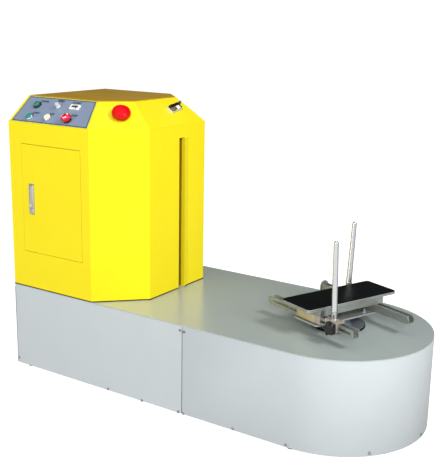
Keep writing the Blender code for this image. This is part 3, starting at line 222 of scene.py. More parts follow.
def capsule(start, end, half, steps=12):
    # outline of constant width round a line: a half circle at each end
    start, end = np.asarray(start, float), np.asarray(end, float)
    bearing = math.atan2(*(end - start)[::-1])
    a = np.linspace(-np.pi / 2, np.pi / 2, steps + 1) + bearing
    ring = half * np.stack([np.cos(a), np.sin(a)], -1)
    return np.r_[end + ring, start - ring]


def makePiece(name, shells, material, body, place=None, sharp=35, stands=(), slot=None):
    # closed shells to one mesh object at the origin, doubles merged and faces turned outwards
    points, faces = joined(shells)
    if place is not None:
        points, faces = moved((points, faces), place)
    mesh = bpy.data.meshes.new(name)
    mesh.from_pydata(points.tolist(), [], faces)
    shape = bmesh.new()
    shape.from_mesh(mesh)
    bmesh.ops.remove_doubles(shape, verts=shape.verts, dist=2e-6)
    bmesh.ops.dissolve_degenerate(shape, edges=shape.edges, dist=1e-7)
    bmesh.ops.recalc_face_normals(shape, faces=shape.faces)
    shape.to_mesh(mesh)
    shape.free()
    mesh.shade_smooth()
    mesh.set_sharp_from_angle(angle=math.radians(sharp))
    mesh.materials.append(material)
    piece = bpy.data.objects.new(name, mesh)
    bpy.context.scene.collection.objects.link(piece)
    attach(piece, body)
    if stands:
        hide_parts(*stands)
    return piece


def turnedPiece(name, profile, material, body, centre=(0, 0), cut=0.0008, sides=64, loop=False, **more):
    # profile with rounded corners, turned round an upright axis at the centre
    line = roundedLine(profile, cut, 4, closed=loop)
    return makePiece(name, [lifted(lathe(line, sides, loop), (*centre, 0))], material, body, **more)


def wordShell(text, size, thickness, weight=0.0):
    # text laid flat and centred on the origin, its strokes widened by a weight and given a small thickness
    curve = bpy.data.curves.new("word", "FONT")
    curve.body = text
    curve.size = size
    curve.offset = weight
    curve.extrude = thickness / 2
    curve.align_x = "CENTER"
    curve.align_y = "CENTER"
    holder = bpy.data.objects.new("word", curve)
    bpy.context.scene.collection.objects.link(holder)
    bpy.context.view_layer.update()
    mesh = bpy.data.meshes.new_from_object(holder)
    points = np.zeros(len(mesh.vertices) * 3)
    mesh.vertices.foreach_get("co", points)
    faces = [list(polygon.vertices) for polygon in mesh.polygons]
    bpy.data.objects.remove(holder)
    bpy.data.curves.remove(curve)
    bpy.data.meshes.remove(mesh)
    return points.reshape(-1, 3), faces


# shader groups


def newGroup(name, inputs, outputs):
    group = bpy.data.node_groups.new(name, "ShaderNodeTree")
    for title, kind, value in inputs:
        socket = group.interface.new_socket(title, in_out="INPUT", socket_type=kind)
        socket.default_value = value
    for title, kind in outputs:
        group.interface.new_socket(title, in_out="OUTPUT", socket_type=kind)
    return group, group.nodes.new("NodeGroupInput"), group.nodes.new("NodeGroupOutput")


def addNode(tree, kind, **settings):
    node = tree.nodes.new(kind)
    for title, value in settings.items():
        setattr(node, title, value)
    return node


def mathNode(tree, operation, first, second):
    node = addNode(tree, "ShaderNodeMath", operation=operation)
    for spot, value in enumerate((first, second)):
        if isinstance(value, (int, float)):
            node.inputs[spot].default_value = value
        else:
            tree.links.new(value, node.inputs[spot])
    return node.outputs[0]


def rangeNode(tree, value, fromLow, fromHigh, toLow, toHigh):
    node = addNode(tree, "ShaderNodeMapRange")
    tree.links.new(value, node.inputs["Value"])
    for title, number in (("From Min", fromLow), ("From Max", fromHigh), ("To Min", toLow), ("To Max", toHigh)):
        if isinstance(number, (int, float)):
            node.inputs[title].default_value = number
        else:
            tree.links.new(number, node.inputs[title])
    return node.outputs["Result"]


def noiseNode(tree, vector, scale, detail=3.0, roughness=0.55):
    node = addNode(tree, "ShaderNodeTexNoise")
    tree.links.new(vector, node.inputs["Vector"])
    node.inputs["Detail"].default_value = detail
    node.inputs["Roughness"].default_value = roughness
    if isinstance(scale, (int, float)):
        node.inputs["Scale"].default_value = scale
    else:
        tree.links.new(scale, node.inputs["Scale"])
    return node.outputs["Fac"]


def makeGrainGroup():
    # orange peel, broad blotches and fine specks of a coated surface, each from 0 to 1
    group, given, result = newGroup(
        "coatGrain",
        [("Peel Scale", "NodeSocketFloat", 260.0), ("Blotch Scale", "NodeSocketFloat", 7.0)],
        [("Peel", "NodeSocketFloat"), ("Blotch", "NodeSocketFloat"), ("Speck", "NodeSocketFloat")],
    )
    place = addNode(group, "ShaderNodeTexCoord").outputs["Object"]
    peel = noiseNode(group, place, given.outputs["Peel Scale"], 2.0)
    blotch = noiseNode(group, place, given.outputs["Blotch Scale"], 4.0)
    speck = noiseNode(group, place, 900.0, 1.0)
    group.links.new(peel, result.inputs["Peel"])
    group.links.new(rangeNode(group, blotch, 0.32, 0.68, 0.0, 1.0), result.inputs["Blotch"])
    group.links.new(rangeNode(group, speck, 0.62, 0.78, 0.0, 1.0), result.inputs["Speck"])
    return group


def makeWearAndHighlightGroup():
    # edges, where the bevelled normal leaves the true one, broken up by noise: rubbed edges on some finishes, a painted
    # highlight along the edges on others
    group, given, result = newGroup(
        "edgeWearAndHighlight",
        [("Radius", "NodeSocketFloat", 0.002), ("Break Up", "NodeSocketFloat", 60.0)],
        [("Edge", "NodeSocketFloat")],
    )
    bevel = addNode(group, "ShaderNodeBevel", samples=4)
    group.links.new(given.outputs["Radius"], bevel.inputs["Radius"])
    facing = addNode(group, "ShaderNodeVectorMath", operation="DOT_PRODUCT")
    group.links.new(bevel.outputs["Normal"], facing.inputs[0])
    group.links.new(addNode(group, "ShaderNodeNewGeometry").outputs["Normal"], facing.inputs[1])
    edge = rangeNode(group, facing.outputs["Value"], 0.995, 0.90, 0.0, 1.0)
    place = addNode(group, "ShaderNodeTexCoord").outputs["Object"]
    broken = rangeNode(group, noiseNode(group, place, given.outputs["Break Up"]), 0.45, 0.62, 0.0, 1.0)
    group.links.new(mathNode(group, "MULTIPLY", edge, broken), result.inputs["Edge"])
    return group


def makeDustGroup():
    # thin dust where the surface looks up, in soft patches
    group, given, result = newGroup(
        "dustFilm", [("Patch Scale", "NodeSocketFloat", 9.0)], [("Dust", "NodeSocketFloat")]
    )
    parts = addNode(group, "ShaderNodeSeparateXYZ")
    group.links.new(addNode(group, "ShaderNodeNewGeometry").outputs["Normal"], parts.inputs[0])
    upward = rangeNode(group, parts.outputs["Z"], 0.2, 0.95, 0.0, 1.0)
    place = addNode(group, "ShaderNodeTexCoord").outputs["Object"]
    patch = rangeNode(group, noiseNode(group, place, given.outputs["Patch Scale"], 5.0), 0.35, 0.72, 0.0, 1.0)
    group.links.new(mathNode(group, "MULTIPLY", upward, patch), result.inputs["Dust"])
    return group


def makeBrushGroup():
    # fine drawn lines: noise stretched by the given scale along each axis
    group, given, result = newGroup(
        "drawnLines",
        [("Stretch", "NodeSocketVector", (400.0, 400.0, 8.0))],
        [("Line", "NodeSocketFloat")],
    )
    place = addNode(group, "ShaderNodeTexCoord").outputs["Object"]
    mapping = addNode(group, "ShaderNodeMapping")
    group.links.new(place, mapping.inputs["Vector"])
    group.links.new(given.outputs["Stretch"], mapping.inputs["Scale"])
    line = noiseNode(group, mapping.outputs["Vector"], 1.0, 2.0)
    group.links.new(rangeNode(group, line, 0.3, 0.7, 0.0, 1.0), result.inputs["Line"])
    return group


coatGrain, edgeWearAndHighlight = makeGrainGroup(), makeWearAndHighlightGroup()
dustFilm, drawnLines = makeDustGroup(), makeBrushGroup()


def groupNode(tree, group, **values):
    node = addNode(tree, "ShaderNodeGroup", node_tree=group)
    for title, value in values.items():
        node.inputs[title.replace("_", " ")].default_value = value
    return node


def mixColour(tree, factor, first, second):
    node = addNode(tree, "ShaderNodeMix", data_type="RGBA")
    tree.links.new(factor, node.inputs[0])
    for socket, value in ((node.inputs[6], first), (node.inputs[7], second)):
        if isinstance(value, tuple):
            socket.default_value = value
        else:
            tree.links.new(value, socket)
    return node.outputs[2]


def makeFinish(name, look):
    # coat colour drifting to a second tone, rubbed edges and painted edge highlights, dust, and roughness and bump from
    # the same noises
    material = bpy.data.materials.new(name)
    material.use_nodes = True
    tree = material.node_tree
    shader = tree.nodes["Principled BSDF"]
    shader.inputs["Metallic"].default_value = look.get("metallic", 0.0)
    shader.inputs["Coat Weight"].default_value = look.get("coat", 0.0)
    shader.inputs["Coat Roughness"].default_value = look.get("coatRoughness", 0.08)
    shader.inputs["Coat IOR"].default_value = look.get("coatIor", 1.5)
    shader.inputs["IOR"].default_value = look.get("ior", 1.5)
    shader.inputs["Specular IOR Level"].default_value = look.get("specular", 0.5)
    shader.inputs["Transmission Weight"].default_value = look.get("clear", 0.0)
    shader.inputs["Specular Tint"].default_value = look.get("edgeTint", (1, 1, 1, 1))
    grain = groupNode(tree, coatGrain, Peel_Scale=look.get("peelScale", 260.0), Blotch_Scale=look.get("blotch", 7.0))
    tone = mathNode(tree, "MULTIPLY", grain.outputs["Blotch"], look.get("drift", 0.5))
    colour = mixColour(tree, tone, look["colour"], look.get("second", look["colour"]))
    low, high = look["rough"]
    rough = rangeNode(tree, grain.outputs["Blotch"], 0.0, 1.0, low, high)
    height = mathNode(tree, "MULTIPLY", grain.outputs["Peel"], look.get("peel", 1.0))
    if "lines" in look:
        lines = groupNode(tree, drawnLines, Stretch=look["lines"])
        height = mathNode(tree, "ADD", height, lines.outputs["Line"])
        shine = rangeNode(tree, lines.outputs["Line"], 0.0, 1.0, -look.get("lineRough", 0.05), look.get("lineRough", 0.05))
        rough = mathNode(tree, "ADD", rough, shine)
        darker = mathNode(tree, "MULTIPLY", lines.outputs["Line"], look.get("lineTone", 0.2))
        colour = mixColour(tree, darker, colour, look.get("lineColour", (0.25, 0.25, 0.25, 1)))
    if "specks" in look:
        specks = mathNode(tree, "MULTIPLY", grain.outputs["Speck"], look["specks"])
        colour = mixColour(tree, specks, colour, look.get("speckColour", (0.6, 0.6, 0.6, 1)))
    # edge colour: real wear on some finishes, a painted highlight on others, as noted at each finish
    if "wearAndHighlight" in look:
        wearAndHighlight = groupNode(tree, edgeWearAndHighlight, Radius=look.get("wearAndHighlightRadius", 0.002), Break_Up=look.get("breakUp", 60.0))
        wornAndLit = mathNode(tree, "MULTIPLY", wearAndHighlight.outputs["Edge"], look["wearAndHighlight"])
        colour = mixColour(tree, wornAndLit, colour, look["wearAndHighlightColour"])
        rough = mathNode(tree, "ADD", rough, mathNode(tree, "MULTIPLY", wornAndLit, 0.2))
    if "dust" in look:
        dust = groupNode(tree, dustFilm)
        settled = mathNode(tree, "MULTIPLY", dust.outputs["Dust"], look["dust"])
        colour = mixColour(tree, settled, colour, look.get("dustColour", (0.55, 0.54, 0.50, 1)))
        rough = mathNode(tree, "ADD", rough, mathNode(tree, "MULTIPLY", settled, 0.5))
    tree.links.new(colour, shader.inputs["Base Color"])
    tree.links.new(rough, shader.inputs["Roughness"])
    bump = addNode(tree, "ShaderNodeBump")
    bump.inputs["Strength"].default_value = look.get("bump", 0.12)
    bump.inputs["Distance"].default_value = look.get("bumpDepth", 0.0003)
    tree.links.new(height, bump.inputs["Height"])
    tree.links.new(bump.outputs["Normal"], shader.inputs["Normal"])
    return material


finishes = {
    # yellow paint: the paler yellow on its edges is a painted highlight along the folds
    "yellowPaint": {
        "colour": fromScreen(229, 210, 26), "second": fromScreen(225, 205, 22), "rough": (0.28, 0.36), "specular": 0.15,
        "peelScale": 330.0, "bump": 0.08, "wearAndHighlight": 0.30, "wearAndHighlightColour": fromScreen(240, 224, 90), "dust": 0.02,
    },
    # top cover: brown whose darkness is partly a painted dark reflection, drawn streaks that are a painted streaky
    # reflection, and paler edges that are a painted highlight
    "coverBrownAndReflection": {
        "colour": fromScreen(194, 154, 34), "second": fromScreen(164, 124, 24), "rough": (0.26, 0.38), "specular": 0.05,
        "lines": (2.0, 26.0, 26.0), "lineTone": 0.25, "lineColour": fromScreen(120, 86, 18), "lineRough": 0.04,
        "bump": 0.06, "wearAndHighlight": 0.5, "wearAndHighlightColour": fromScreen(205, 170, 80), "dust": 0.10,
    },
    "greyPaint": {
        "colour": fromScreen(184, 190, 192), "second": fromScreen(178, 185, 188), "rough": (0.36, 0.46), "specular": 0.2,
        "peelScale": 420.0, "bump": 0.12, "wearAndHighlight": 0.5, "wearAndHighlightColour": fromScreen(150, 152, 152), "specks": 0.06,
    },
    "deckPaint": {
        "colour": fromScreen(163, 173, 171), "rough": (0.30, 0.30), "coat": 0.5,
        "coatIor": 1.7, "coatRoughness": 0.20, "peelScale": 300.0, "bump": 0.01, "wearAndHighlight": 0.3,
        "wearAndHighlightColour": fromScreen(120, 122, 120),
    },
    "panelFoil": {
        "colour": fromScreen(122, 136, 158), "second": fromScreen(113, 127, 149), "rough": (0.38, 0.48),
        "peelScale": 900.0, "bump": 0.10, "drift": 0.7, "specks": 0.08,
    },
    "inkGreen": {"colour": fromScreen(38, 74, 62), "second": fromScreen(30, 60, 52), "rough": (0.45, 0.55)},
    "inkDark": {"colour": fromScreen(30, 36, 52), "second": fromScreen(20, 24, 38), "rough": (0.45, 0.6)},
    "inkDim": {"colour": fromScreen(120, 122, 116), "second": fromScreen(104, 106, 100), "rough": (0.4, 0.5)},
    "inkLight": {"colour": fromScreen(238, 232, 226), "second": fromScreen(222, 216, 210), "rough": (0.4, 0.5)},
    # zinc: the near white on its edges is a painted glint of light along them
    "zincWarm": {
        "colour": fromScreen(166, 172, 168), "second": fromScreen(142, 146, 138), "rough": (0.30, 0.44),
        "metallic": 0.7, "blotch": 16.0, "drift": 0.8, "lines": (30.0, 420.0, 420.0), "lineTone": 0.08,
        "bump": 0.02, "wearAndHighlight": 0.9, "wearAndHighlightRadius": 0.0030, "breakUp": 7.0, "wearAndHighlightColour": fromScreen(236, 240, 238),
    },
    # clear zinc: the near white on its edges is a painted glint of light along them
    "zincClear": {
        "colour": fromScreen(190, 195, 194), "second": fromScreen(166, 171, 170), "rough": (0.26, 0.42),
        "metallic": 0.7, "blotch": 16.0, "drift": 0.8, "lines": (18.0, 300.0, 300.0), "lineTone": 0.08,
        "bump": 0.03, "wearAndHighlight": 0.8, "wearAndHighlightRadius": 0.0025, "breakUp": 9.0, "wearAndHighlightColour": fromScreen(244, 246, 246),
    },
    # chrome: the white on its edges is a painted glint of light
    "chrome": {
        "colour": fromScreen(226, 226, 228), "second": fromScreen(214, 214, 218), "rough": (0.07, 0.14),
        "metallic": 1.0, "bump": 0.03, "wearAndHighlight": 0.3, "wearAndHighlightColour": fromScreen(250, 250, 250),
    },
    "satinChrome": {
        "colour": fromScreen(196, 193, 188), "second": fromScreen(184, 181, 176), "rough": (0.22, 0.32),
        "metallic": 0.9, "lines": (300.0, 300.0, 12.0), "lineTone": 0.08, "bump": 0.04,
    },
    "drawnSteel": {
        "colour": fromScreen(208, 209, 211), "rough": (0.24, 0.24), "metallic": 1.0,
        "edgeTint": fromScreen(96, 98, 102), "peelScale": 90.0, "bump": 0.01,
    },
    # hub steel: its dark blue grey includes painted shadow of the carrier above the hub
    "hubSteelShadowed": {
        "colour": fromScreen(118, 125, 134), "second": fromScreen(104, 110, 120), "rough": (0.34, 0.46),
        "metallic": 0.5, "blotch": 18.0, "bump": 0.04, "wearAndHighlight": 0.5, "wearAndHighlightColour": fromScreen(190, 194, 198),
    },
    "framePaint": {
        "colour": fromScreen(66, 70, 74), "second": fromScreen(54, 58, 62), "rough": (0.5, 0.65), "bump": 0.2,
        "wearAndHighlight": 0.6, "wearAndHighlightColour": fromScreen(120, 122, 124), "dust": 0.2,
    },
    "blackRubber": {
        "colour": fromScreen(12, 14, 15), "second": fromScreen(17, 19, 20), "rough": (0.30, 0.42), "specular": 0.05,
        "bump": 0.10, "peelScale": 700.0, "specks": 0.04, "speckColour": fromScreen(70, 72, 74),
    },
    "blackPlastic": {
        "colour": fromScreen(16, 16, 18), "second": fromScreen(22, 22, 24), "rough": (0.30, 0.42), "bump": 0.2,
        "peelScale": 1200.0, "wearAndHighlight": 0.4, "wearAndHighlightColour": fromScreen(74, 74, 76),
    },
    # red plastic: the paler red on its edges is a painted highlight
    "redPlastic": {
        "colour": fromScreen(214, 2, 20), "second": fromScreen(202, 2, 16), "rough": (0.24, 0.34), "specular": 0.20,
        "bump": 0.04, "wearAndHighlight": 0.2, "wearAndHighlightColour": fromScreen(232, 40, 50),
    },
    # palm stop rim: its darker orange red is painted shade and a painted reflection of the yellow tower over the
    # button's red
    "rimRedShadeAndReflection": {
        "colour": fromScreen(190, 26, 4), "second": fromScreen(178, 22, 2), "rough": (0.26, 0.36), "specular": 0.20,
        "bump": 0.04,
    },
    # seal: its dark brown is painted shade along the foot of the tower
    "sealBrownShade": {
        "colour": fromScreen(58, 42, 6), "second": fromScreen(48, 34, 4), "rough": (0.6, 0.75), "specular": 0.1,
        "bump": 0.1,
    },
    # slot strip: dark brown painted shade of the slot's inside
    "slotShadeBrown": {
        "colour": fromScreen(146, 108, 6), "second": fromScreen(132, 94, 4), "rough": (0.6, 0.75), "specular": 0.1,
        "peelScale": 900.0, "bump": 0.2,
    },
    "ribBrown": {
        "colour": fromScreen(112, 98, 84), "second": fromScreen(96, 84, 72), "rough": (0.35, 0.5), "bump": 0.1,
    },
    # sensor bracket: pale cream that is a painted sheen standing in for bright chrome
    "paleTraySheen": {
        "colour": fromScreen(208, 200, 172), "second": fromScreen(196, 188, 158), "rough": (0.30, 0.42), "bump": 0.06,
    },
    # tan zinc: its tan is a painted reflection of the yellow tower
    "tanZincReflection": {
        "colour": fromScreen(196, 184, 142), "second": fromScreen(180, 168, 128), "rough": (0.36, 0.50),
        "metallic": 0.4, "blotch": 18.0, "drift": 0.8, "bump": 0.03,
    },
    # pink zinc: the pale colour on its edges is a painted glint of light
    "pinkZinc": {
        "colour": fromScreen(184, 172, 158), "second": fromScreen(168, 156, 144), "rough": (0.36, 0.50),
        "metallic": 0.5, "blotch": 18.0, "drift": 0.8, "bump": 0.03, "wearAndHighlight": 0.8, "breakUp": 9.0,
        "wearAndHighlightColour": fromScreen(232, 226, 218),
    },
    # dark zinc: the near white on its edges is a painted highlight on the screw heads
    "darkZinc": {
        "colour": fromScreen(128, 130, 130), "second": fromScreen(112, 114, 114), "rough": (0.30, 0.42),
        "metallic": 0.7, "bump": 0.05, "wearAndHighlight": 0.8, "wearAndHighlightColour": fromScreen(236, 238, 238),
    },
    "seamShade": {
        "colour": fromScreen(70, 74, 76), "second": fromScreen(60, 64, 66), "rough": (0.6, 0.75), "specular": 0.1,
        "bump": 0.1,
    },
    "greenPlastic": {
        "colour": fromScreen(18, 116, 92), "second": fromScreen(12, 98, 80), "rough": (0.14, 0.24), "coat": 0.4,
        "bump": 0.04,
    },
    "creamPlastic": {
        "colour": fromScreen(226, 222, 196), "second": fromScreen(214, 210, 182), "rough": (0.28, 0.38), "bump": 0.08,
    },
    "whitePlastic": {
        "colour": fromScreen(232, 232, 226), "second": fromScreen(222, 222, 216), "rough": (0.30, 0.40), "bump": 0.06,
    },
    "tealPlastic": {
        "colour": fromScreen(34, 138, 128), "second": fromScreen(26, 120, 112), "rough": (0.14, 0.24), "coat": 0.4,
        "bump": 0.04,
    },
    # crimson plastic: the paler pink on its edges is a painted highlight
    "crimsonPlastic": {
        "colour": fromScreen(196, 20, 52), "second": fromScreen(180, 14, 46), "rough": (0.20, 0.30), "specular": 0.35,
        "bump": 0.04, "wearAndHighlight": 0.2, "wearAndHighlightColour": fromScreen(220, 70, 90),
    },
    "greyPlastic": {
        "colour": fromScreen(196, 200, 196), "second": fromScreen(180, 186, 182), "rough": (0.32, 0.42), "bump": 0.1,
    },
    "aluminium": {
        "colour": fromScreen(205, 206, 208), "second": fromScreen(190, 192, 194), "rough": (0.24, 0.36),
        "metallic": 1.0, "lines": (300.0, 300.0, 40.0), "lineTone": 0.1, "bump": 0.08,
    },
    "stretchFilm": {
        "colour": fromScreen(216, 226, 232), "second": fromScreen(196, 210, 220), "rough": (0.10, 0.22), "coat": 0.4,
        "lines": (60.0, 60.0, 700.0), "lineTone": 0.08, "lineColour": fromScreen(170, 186, 198), "bump": 0.15,
    },
    "cardboard": {
        "colour": fromScreen(176, 142, 98), "second": fromScreen(160, 126, 84), "rough": (0.75, 0.9), "bump": 0.2,
    },
}
finish = {name: makeFinish(name, look) for name, look in finishes.items()}
print("finishes:", len(finish))

# CAD nodes that stay: their finish, and the fold or edge radius in metres
keptNodes = {
    "yellowPaint": {"tower_shell": 0.0012, "tower_hood": 0.0012, "left_panel": 0.0010, "front_door": 0.0009},
    "coverBrownAndReflection": {"top_cover": 0.0010},
    "greyPaint": {"front_skirt": 0.0008, "rear_skirt": 0.0008, "end_skirt": 0.0008, "round_skirt": 0.0008},
    "deckPaint": {"deck_plate": 0.0016},
    "panelFoil": {"control_panel": 0.0005},
    "zincWarm": {"near_rail": 0.0012, "far_rail": 0.0012, "platform_box": 0.0008, "tray": 0.0006},
    "zincClear": {"cross_plate": 0.0012, "door_hinge_upper": 0.001, "door_hinge_lower": 0.001},
    "framePaint": {"base_frame": 0.002, "mast_head": 0.001, "carriage_frame": 0.0015},
}


curvedNodes = {"round_skirt"}


def makeSmoothGroup():
    # geometry group that only turns smooth shading on
    group = bpy.data.node_groups.new("smoothFaces", "GeometryNodeTree")
    group.interface.new_socket("Geometry", in_out="INPUT", socket_type="NodeSocketGeometry")
    group.interface.new_socket("Geometry", in_out="OUTPUT", socket_type="NodeSocketGeometry")
    smooth = addNode(group, "GeometryNodeSetShadeSmooth")
    group.links.new(addNode(group, "NodeGroupInput").outputs[0], smooth.inputs["Geometry"])
    group.links.new(smooth.outputs["Geometry"], addNode(group, "NodeGroupOutput").inputs[0])
    return group


smoothFaces = makeSmoothGroup()


def softenNode(item, radius):
    # triangles welded, flat ones joined again, curved ones shaded smooth, then edges over 30 degrees rounded
    weld = item.modifiers.new("weld", "WELD")
    weld.merge_threshold = 1e-5
    flat = item.modifiers.new("flat", "DECIMATE")
    flat.decimate_type = "DISSOLVE"
    flat.angle_limit = math.radians(1)
    if item.name in curvedNodes:
        smooth = item.modifiers.new("smooth", "NODES")
        smooth.node_group = smoothFaces
    bevel = item.modifiers.new("edge", "BEVEL")
    bevel.width = radius
    bevel.segments = 2
    bevel.limit_method = "ANGLE"
    bevel.angle_limit = math.radians(30)
    bevel.harden_normals = True
    bevel.use_clamp_overlap = True


for finishName, radii in keptNodes.items():
    for nodeName, radius in radii.items():
        item = nodes[nodeName]
        item.data.materials.clear()
        item.data.materials.append(finish[finishName])
        softenNode(item, radius)
print("kept nodes:", sum(len(radii) for radii in keptNodes.values()))

# slopes of the hood: across, up and out of each
slopeLength = math.hypot(machine["hoodInset"], machine["hoodTop"] - machine["wallTop"])
slopeCos = machine["hoodInset"] / slopeLength
slopeSin = (machine["hoodTop"] - machine["wallTop"]) / slopeLength


def slopeFrame(outward, corner):
    out = np.array([*outward, 0.0]) / np.linalg.norm(outward)
    up = -slopeCos * out + np.array([0, 0, slopeSin])
    normal = slopeSin * out + np.array([0, 0, slopeCos])
    return frameOf((*corner, machine["wallTop"] + machine["gap"]), np.cross(up, normal), up, normal)


frontSlope = slopeFrame((0, -1), (machine["towerEnd"], machine["front"]))
chamferSlope = slopeFrame((1, -1), (machine["towerRight"] - machine["chamfer"], machine["front"]))
rightSlope = slopeFrame((1, 0), (machine["towerRight"], 0.0))


def onSlope(slope, spot, height=0.0):
    return slope @ frameOf((*spot, height), (1, 0, 0), (0, 1, 0), (0, 0, 1))


panel = {
    "face": 0.0018,
    "seat": 0.0021,
    "left": 0.016,
    "margin": 0.004,
    "lineInset": 0.0018,
    "lineWidth": 0.0034,
    "lineHeight": 0.0002,
    "lamp": (0.094, 0.096),
    "speed": (0.208, 0.098),
    "counter": (0.293, 0.103),
    "start": (0.101, 0.030),
    "jog": (0.197, 0.034),
    "stop": (0.305, 0.032),
    "wordSize": 0.0126,
    "wordWeight": 0.00065,
    "words": {"POWER": (0.116, 0.1215), "SPEED": (0.200, 0.1310), "COUNT": (0.286, 0.1290),
              "START": (0.117, 0.0555), "JOG": (0.202, 0.0585), "STOP": (0.318, 0.0605)},
}


def makePanelPrint():
    low, high = panel["margin"], slopeLength - panel["margin"]
    bend = machine["towerRight"] - machine["chamfer"] - machine["towerEnd"] - 2 * panel["margin"] + 0.0
    lean = slopeCos * math.tan(math.pi / 8)
    outline = np.array([(panel["left"], low), (bend - low * lean, low), (bend - high * lean, high), (panel["left"], high)])
    inner = panel["lineInset"] + panel["lineWidth"]
    top = panel["face"] + panel["lineHeight"]
    steps = [(panel["lineInset"], panel["face"]), (inner, panel["face"]), (inner, top), (panel["lineInset"], top)]
    makePiece("panel_line", [stack(outline, steps, loop=True)], finish["inkGreen"], "machine_frame", frontSlope)
    shells = []
    for word, spot in panel["words"].items():
        shells.append(lifted(wordShell(word, panel["wordSize"], 0.0002, panel["wordWeight"]), (*spot, panel["face"] + 0.0001)))
    makePiece("panel_words", shells, finish["inkDark"], "machine_frame", frontSlope)

    # speed scale: eleven ticks round the knob
    turn = np.radians(np.linspace(-150, 150, 11))
    ticks = []
    for a in turn:
        tick = stack(rectangle(0.0004, 0.0016), [(0, 0), (0, 0.0002)])
        spin = frameOf((0, 0, 0), (math.cos(a), -math.sin(a), 0), (math.sin(a), math.cos(a), 0), (0, 0, 1))
        outer = spin[:3, 1] * 0.0145
        ticks.append(lifted(moved(tick, spin), (panel["speed"][0] + outer[0], panel["speed"][1] + outer[1], panel["face"])))
    makePiece("speed_scale", ticks, finish["inkDark"], "machine_frame", frontSlope)


makePanelPrint()

# panel controls
pushButton = {"rim": 0.0175, "height": 0.008, "well": 0.0142, "floor": 0.002, "cap": 0.0137, "stem": 0.009,
              "bore": 0.0095, "tail": -0.028, "tube": 0.011, "head": 0.0086, "crown": 0.0052}


def makePushButton(name, spot, material, body):
    # turned bezel with a rolled rim, and a cap with a dished crown
    b, seat = pushButton, panel["seat"]
    bezel = [(b["tube"], b["tail"]), (b["tube"], seat), (b["rim"], seat), (b["rim"], seat + 0.0035),
             (b["rim"] - 0.0012, seat + b["height"]), (b["well"], seat + b["height"]), (b["well"], seat + b["floor"]),
             (b["bore"], seat + b["floor"]), (b["bore"], b["tail"])]
    bezel = np.r_[roundedLine(bezel, 0.0008, 4), [bezel[0]]]
    piece = makePiece(name + "_ring", [lathe(bezel[:-1], 64, loop=True)], finish["chrome"], "machine_frame",
                      onSlope(frontSlope, spot), stands=[name + "_bezel"], slot="bright_steel")
    head = b["head"]
    cap = [(0, b["tail"]), (b["stem"], b["tail"]), (b["stem"], head), (b["cap"], head), (b["cap"], head + b["crown"] - 0.0008),
           (b["cap"] - 0.0022, head + b["crown"]), (0.0045, head + b["crown"] - 0.0007), (0, head + b["crown"] - 0.0009)]
    makePiece(name + "_button_top", [lathe(roundedLine(cap, 0.0010, 5), 64)], material, body,
              onSlope(frontSlope, spot), stands=[name + "_cap"])
    return piece


makePushButton("start", panel["start"], finish["tealPlastic"], "start_button")
makePushButton("jog", panel["jog"], finish["creamPlastic"], "jog_button")

lamp = {"tube": 0.011, "tail": -0.028, "rim": 0.0175, "rimHeight": 0.006, "lens": 0.0135, "crown": 0.016, "ribs": 20}


def makeLamp():
    seat = panel["seat"]
    rim = seat + lamp["rimHeight"]
    collar = [(0, lamp["tail"]), (lamp["tube"], lamp["tail"]), (lamp["tube"], seat), (lamp["rim"], seat),
              (lamp["rim"], rim - 0.001), (lamp["rim"] - 0.0014, rim), (lamp["lens"] + 0.0002, rim), (0, rim)]
    makePiece("lamp_collar", [lathe(roundedLine(collar, 0.0006, 4), 64)], finish["blackPlastic"], "machine_frame",
              onSlope(frontSlope, panel["lamp"]))

    # lens: dome radius lens*cos(b), its side ribbed by a cosine that fades towards the crown
    a = np.linspace(0, 2 * np.pi, 160, endpoint=False)[None, :]
    b = np.r_[np.linspace(0, 1, 5)[:-1] * 0.35, np.linspace(0.35, 1, 12)][:, None]
    dome = np.clip((b - 0.35) / 0.65, 0, 1) * np.pi / 2
    height = rim + (seat + lamp["crown"] - rim) * np.where(b < 0.35, b / 0.35 * 0.4, 0.4 + 0.6 * np.sin(dome))
    radius = lamp["lens"] * np.where(b < 0.35, 1, np.cos(dome)) * (1 + 0.035 * (np.cos(lamp["ribs"] * a) - 1) * np.cos(dome))
    points = np.stack([radius * np.cos(a), radius * np.sin(a), height + 0 * a], -1)
    base = np.stack([0 * a[0], 0 * a[0], np.full(160, rim)], -1)[None]
    shell = gridShell(np.r_[base, points], wrapColumns=True)
    makePiece("lamp_lens", [shell], finish["greenPlastic"], "machine_frame", onSlope(frontSlope, panel["lamp"]),
              sharp=60, stands=["power_lamp"], slot="green_plastic")


makeLamp()

speedKnob = {"stem": 0.003, "tail": -0.012, "radius": 0.0105, "skirt": 0.004, "top": 0.020, "grip": 0.0082, "flutes": 12}


